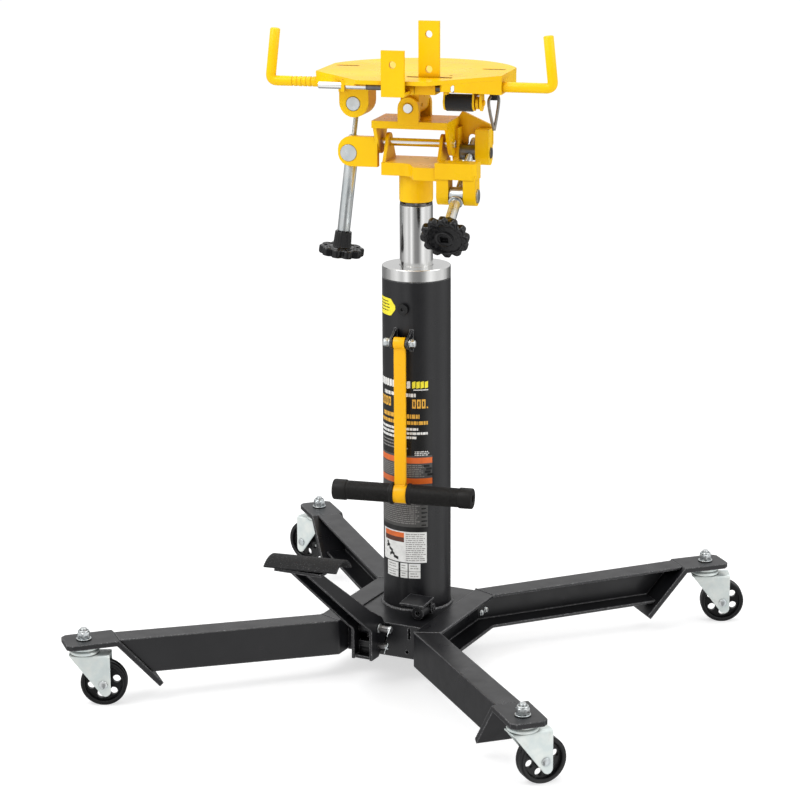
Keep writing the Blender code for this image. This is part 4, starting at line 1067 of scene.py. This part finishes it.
# Notice: an orange heading, a made-up pictogram and text, then a small table of three columns.
notice = [
    patch(PAPER, -47, 42, 165, 214), patch(ORANGE, -41, 3, 204.5, 212.2, 1),
    patch(BROWN, -41, 3, 197.0, 204.5, 1), patch(INK, -35, -31, 190.5, 194.5, 1),
    patch(PAPER, -34, 31, 140, 163.5), patch(INK, -8, -4, 140, 163.5, 1), patch(INK, 9.2, 11, 140, 163.5, 1),
    patch(PALE_INK, -34, 31, 150.5, 151.3, 1),
]
for a0, a1, z0, slant in ((-33, -27, 188, -3), (-29, -20, 182, -4), (-24, -16, 176.5, -4), (-36, -30, 184, 2),
                          (-18, -8, 170.5, -2.5), (-27, -21, 172, 3)):
    notice.append(patch(INK, a0, a1, z0, z0 + 4.6, 1, slant))
notice += lines(6, 40, 211.0, 14, 3.2, 1.3, PALE_INK, 5.0)
for a0, a1 in ((-30, -11), (-2, 7), (14, 28)):
    for z in (160.5, 148.0):
        notice += lines(a0, a1, z, 2, 4.0, 1.3, PALE_INK, 3.0)
piece("notice_label", "base", notice, BASE)


def pointer_mark():
    """Yellow arrow-shaped sticker whose tip is at the filler plug."""
    plug_z = sum(corner.z for corner in extents("filler_plug")) / 2
    loops = []
    for a in range(-66, -10, 3):
        half = 13.0 * min(1.0, (-9.0 - a) / 13.0)
        c, s = math.sin(math.radians(a)), -math.cos(math.radians(a))
        loops.append([(r * c, r * s, plug_z + z) for r, z in rect(LABEL_R, LABEL_R + 0.12, -half, half)])
    return [(skin(loops), LEMON)] + lines(-62, -24, plug_z + 9.0, 4, 4.6, 1.6, INK, 4.0, 1.2)


piece("pointer_label", "base", pointer_mark(), BASE)


# ---------------- carried-over CAD nodes
# Every node that no piece above replaces; the edge radius is 0.7 mm unless it is given here.
ROUNDING = {"side_frame_left": 1.6, "side_frame_right": 1.6, "base_tray": 1.2, "pedal_arm": 1.2,
            "lower_yoke": 1.4, "middle_yoke": 1.3, "saddle_plate": 1.0, "stop_bracket_tall": 1.0,
            "stop_bracket_short": 1.0, "ram_gland": 0.3, "side_dowel": 1.2, "side_trunnion": 1.3,
            "filler_plug": 0.6, "column_collar": 0.6}
for row in frame["record"]["subparts"]:
    if row["node"] not in REPLACED:
        refine(row["node"], FINISHES[row["material_slot"]], ROUNDING.get(row["node"], 0.7))


# ---------------- floor, light, camera
def studio():
    """Matt grey floor whose own glow lifts it to white."""
    floor_mesh = bpy.data.meshes.new("floor")
    floor_mesh.from_pydata([(x, y, 0.0) for x, y in rect(-30.0, 30.0, -30.0, 30.0)], [], [(0, 1, 2, 3)])
    floor = placed("floor", floor_mesh)
    t = Tree("studio_floor")
    shown = t.mix(t.span(t.noise(3.0, 3.0), 0.3, 0.7, 0.0, 1.0), (0.52, 0.52, 0.52), (0.50, 0.50, 0.505))
    floor_mesh.materials.append(t.finish(shown, 0.9, t.bump(t.noise(60.0, 3.0), 0.2, 0.2), shine=0.0,
                                         Emission_Color=(1.0, 1.0, 1.0, 1.0), Emission_Strength=0.60))
    floor.visible_glossy = False


AZIMUTH, ELEVATION, ROLL = (math.radians(a) for a in (26.13, 14.44, -0.27))
TARGET = COLUMN * MM + Vector((-0.0230, -0.0113, 0.4091))
DISTANCE = 3.794


def direction(azimuth, elevation):
    """Unit vector from the jack: azimuth from the front towards +X, both in radians."""
    return Vector((math.sin(azimuth) * math.cos(elevation), -math.cos(azimuth) * math.cos(elevation),
                   math.sin(elevation)))


def camera():
    """Long lens from the front right, solved on the photograph."""
    back = direction(AZIMUTH, ELEVATION)
    right = (-back).cross(Vector((0, 0, 1))).normalized()
    up = right.cross(-back)
    tilted = right * math.cos(ROLL) + up * math.sin(ROLL)
    upright = up * math.cos(ROLL) - right * math.sin(ROLL)
    data = bpy.data.cameras.new("camera")
    data.lens = 112.0
    data.sensor_width = 36.0
    made = placed("camera", data)
    turn = Matrix((tilted, upright, back)).transposed().to_4x4()
    made.matrix_world = Matrix.Translation(TARGET + back * DISTANCE) @ turn
    bpy.context.scene.camera = made


# Cards and flags around the studio that shiny metal mirrors: degrees round from the left of the
# camera, brightness.
CARDS = ((0, 0.35), (45, 0.27), (75, 0.5), (92, 0.85), (110, 1.08), (130, 0.75), (146, 1.3), (160, 0.6),
         (170, 0.33), (192, 0.28), (205, 0.5), (218, 1.1), (228, 1.32), (240, 1.1), (252, 0.92), (275, 1.0),
         (294, 0.7), (308, 0.32), (325, 0.15), (360, 0.35))


def world():
    """Bright soft studio: white to the camera, even on matt faces, cards and flags in mirrors."""
    t = Tree("studio", bpy.data.worlds, "Generated")
    bpy.context.scene.world = t.owner
    turn = t.node("ShaderNodeMapping", Vector=t.place)
    turn.inputs["Rotation"].default_value = (0.0, 0.0, math.pi / 2 - AZIMUTH)
    around = t.node("ShaderNodeTexGradient", Vector=turn.outputs[0])
    around.gradient_type = "RADIAL"
    ramp = t.node("ShaderNodeValToRGB", Fac=around.outputs["Fac"])
    ramp.color_ramp.interpolation = "EASE"
    for turned, brightness in CARDS[1:-1]:
        ramp.color_ramp.elements.new(turned / 360.0)
    for element, (turned, brightness) in zip(ramp.color_ramp.elements, CARDS):
        element.color = (brightness, brightness, brightness, 1.0)
    height = t.node("ShaderNodeSeparateXYZ", Vector=t.place).outputs["Z"]
    ceiling = t.span(height, -0.05, 0.25, 0.0, 1.0)
    mirrored = t.mix(ceiling, ramp.outputs["Color"], (0.88, 0.88, 0.88))
    rays = t.node("ShaderNodeLightPath").outputs
    soft = t.nodes["Background"]
    t.feed(soft.inputs["Color"], t.mix(rays["Is Glossy Ray"], (0.92, 0.92, 0.92), mirrored))
    t.feed(soft.inputs["Strength"], 0.90)
    seen = t.node("ShaderNodeBackground", Color=(1.0, 1.0, 1.0, 1.0), Strength=1.05)
    both = t.node("ShaderNodeMixShader", Fac=rays["Is Camera Ray"])
    t.feed(both.inputs[1], soft.outputs[0])
    t.feed(both.inputs[2], seen.outputs[0])
    t.feed(t.nodes["World Output"].inputs["Surface"], both.outputs[0])


def softbox(name, azimuth, elevation, distance, size, power):
    """Large square lamp aimed at the middle of the jack."""
    back = direction(math.radians(azimuth), math.radians(elevation))
    data = bpy.data.lights.new(name, "AREA")
    data.shape = "SQUARE"
    data.size = size
    data.energy = power
    made = placed(name, data)
    made.location = Vector((0.0, 0.0, 0.5)) + back * distance
    made.rotation_mode = "QUATERNION"
    made.rotation_quaternion = (-back).to_track_quat("-Z", "Y")


studio()
camera()
world()
softbox("key", -35.0, 50.0, distance=3.0, size=1.8, power=42.0)
softbox("fill", 95.0, 35.0, distance=3.2, size=2.0, power=22.0)
softbox("top", 200.0, 70.0, distance=2.8, size=2.2, power=27.0)
bpy.context.scene.view_settings.view_transform = "Standard"
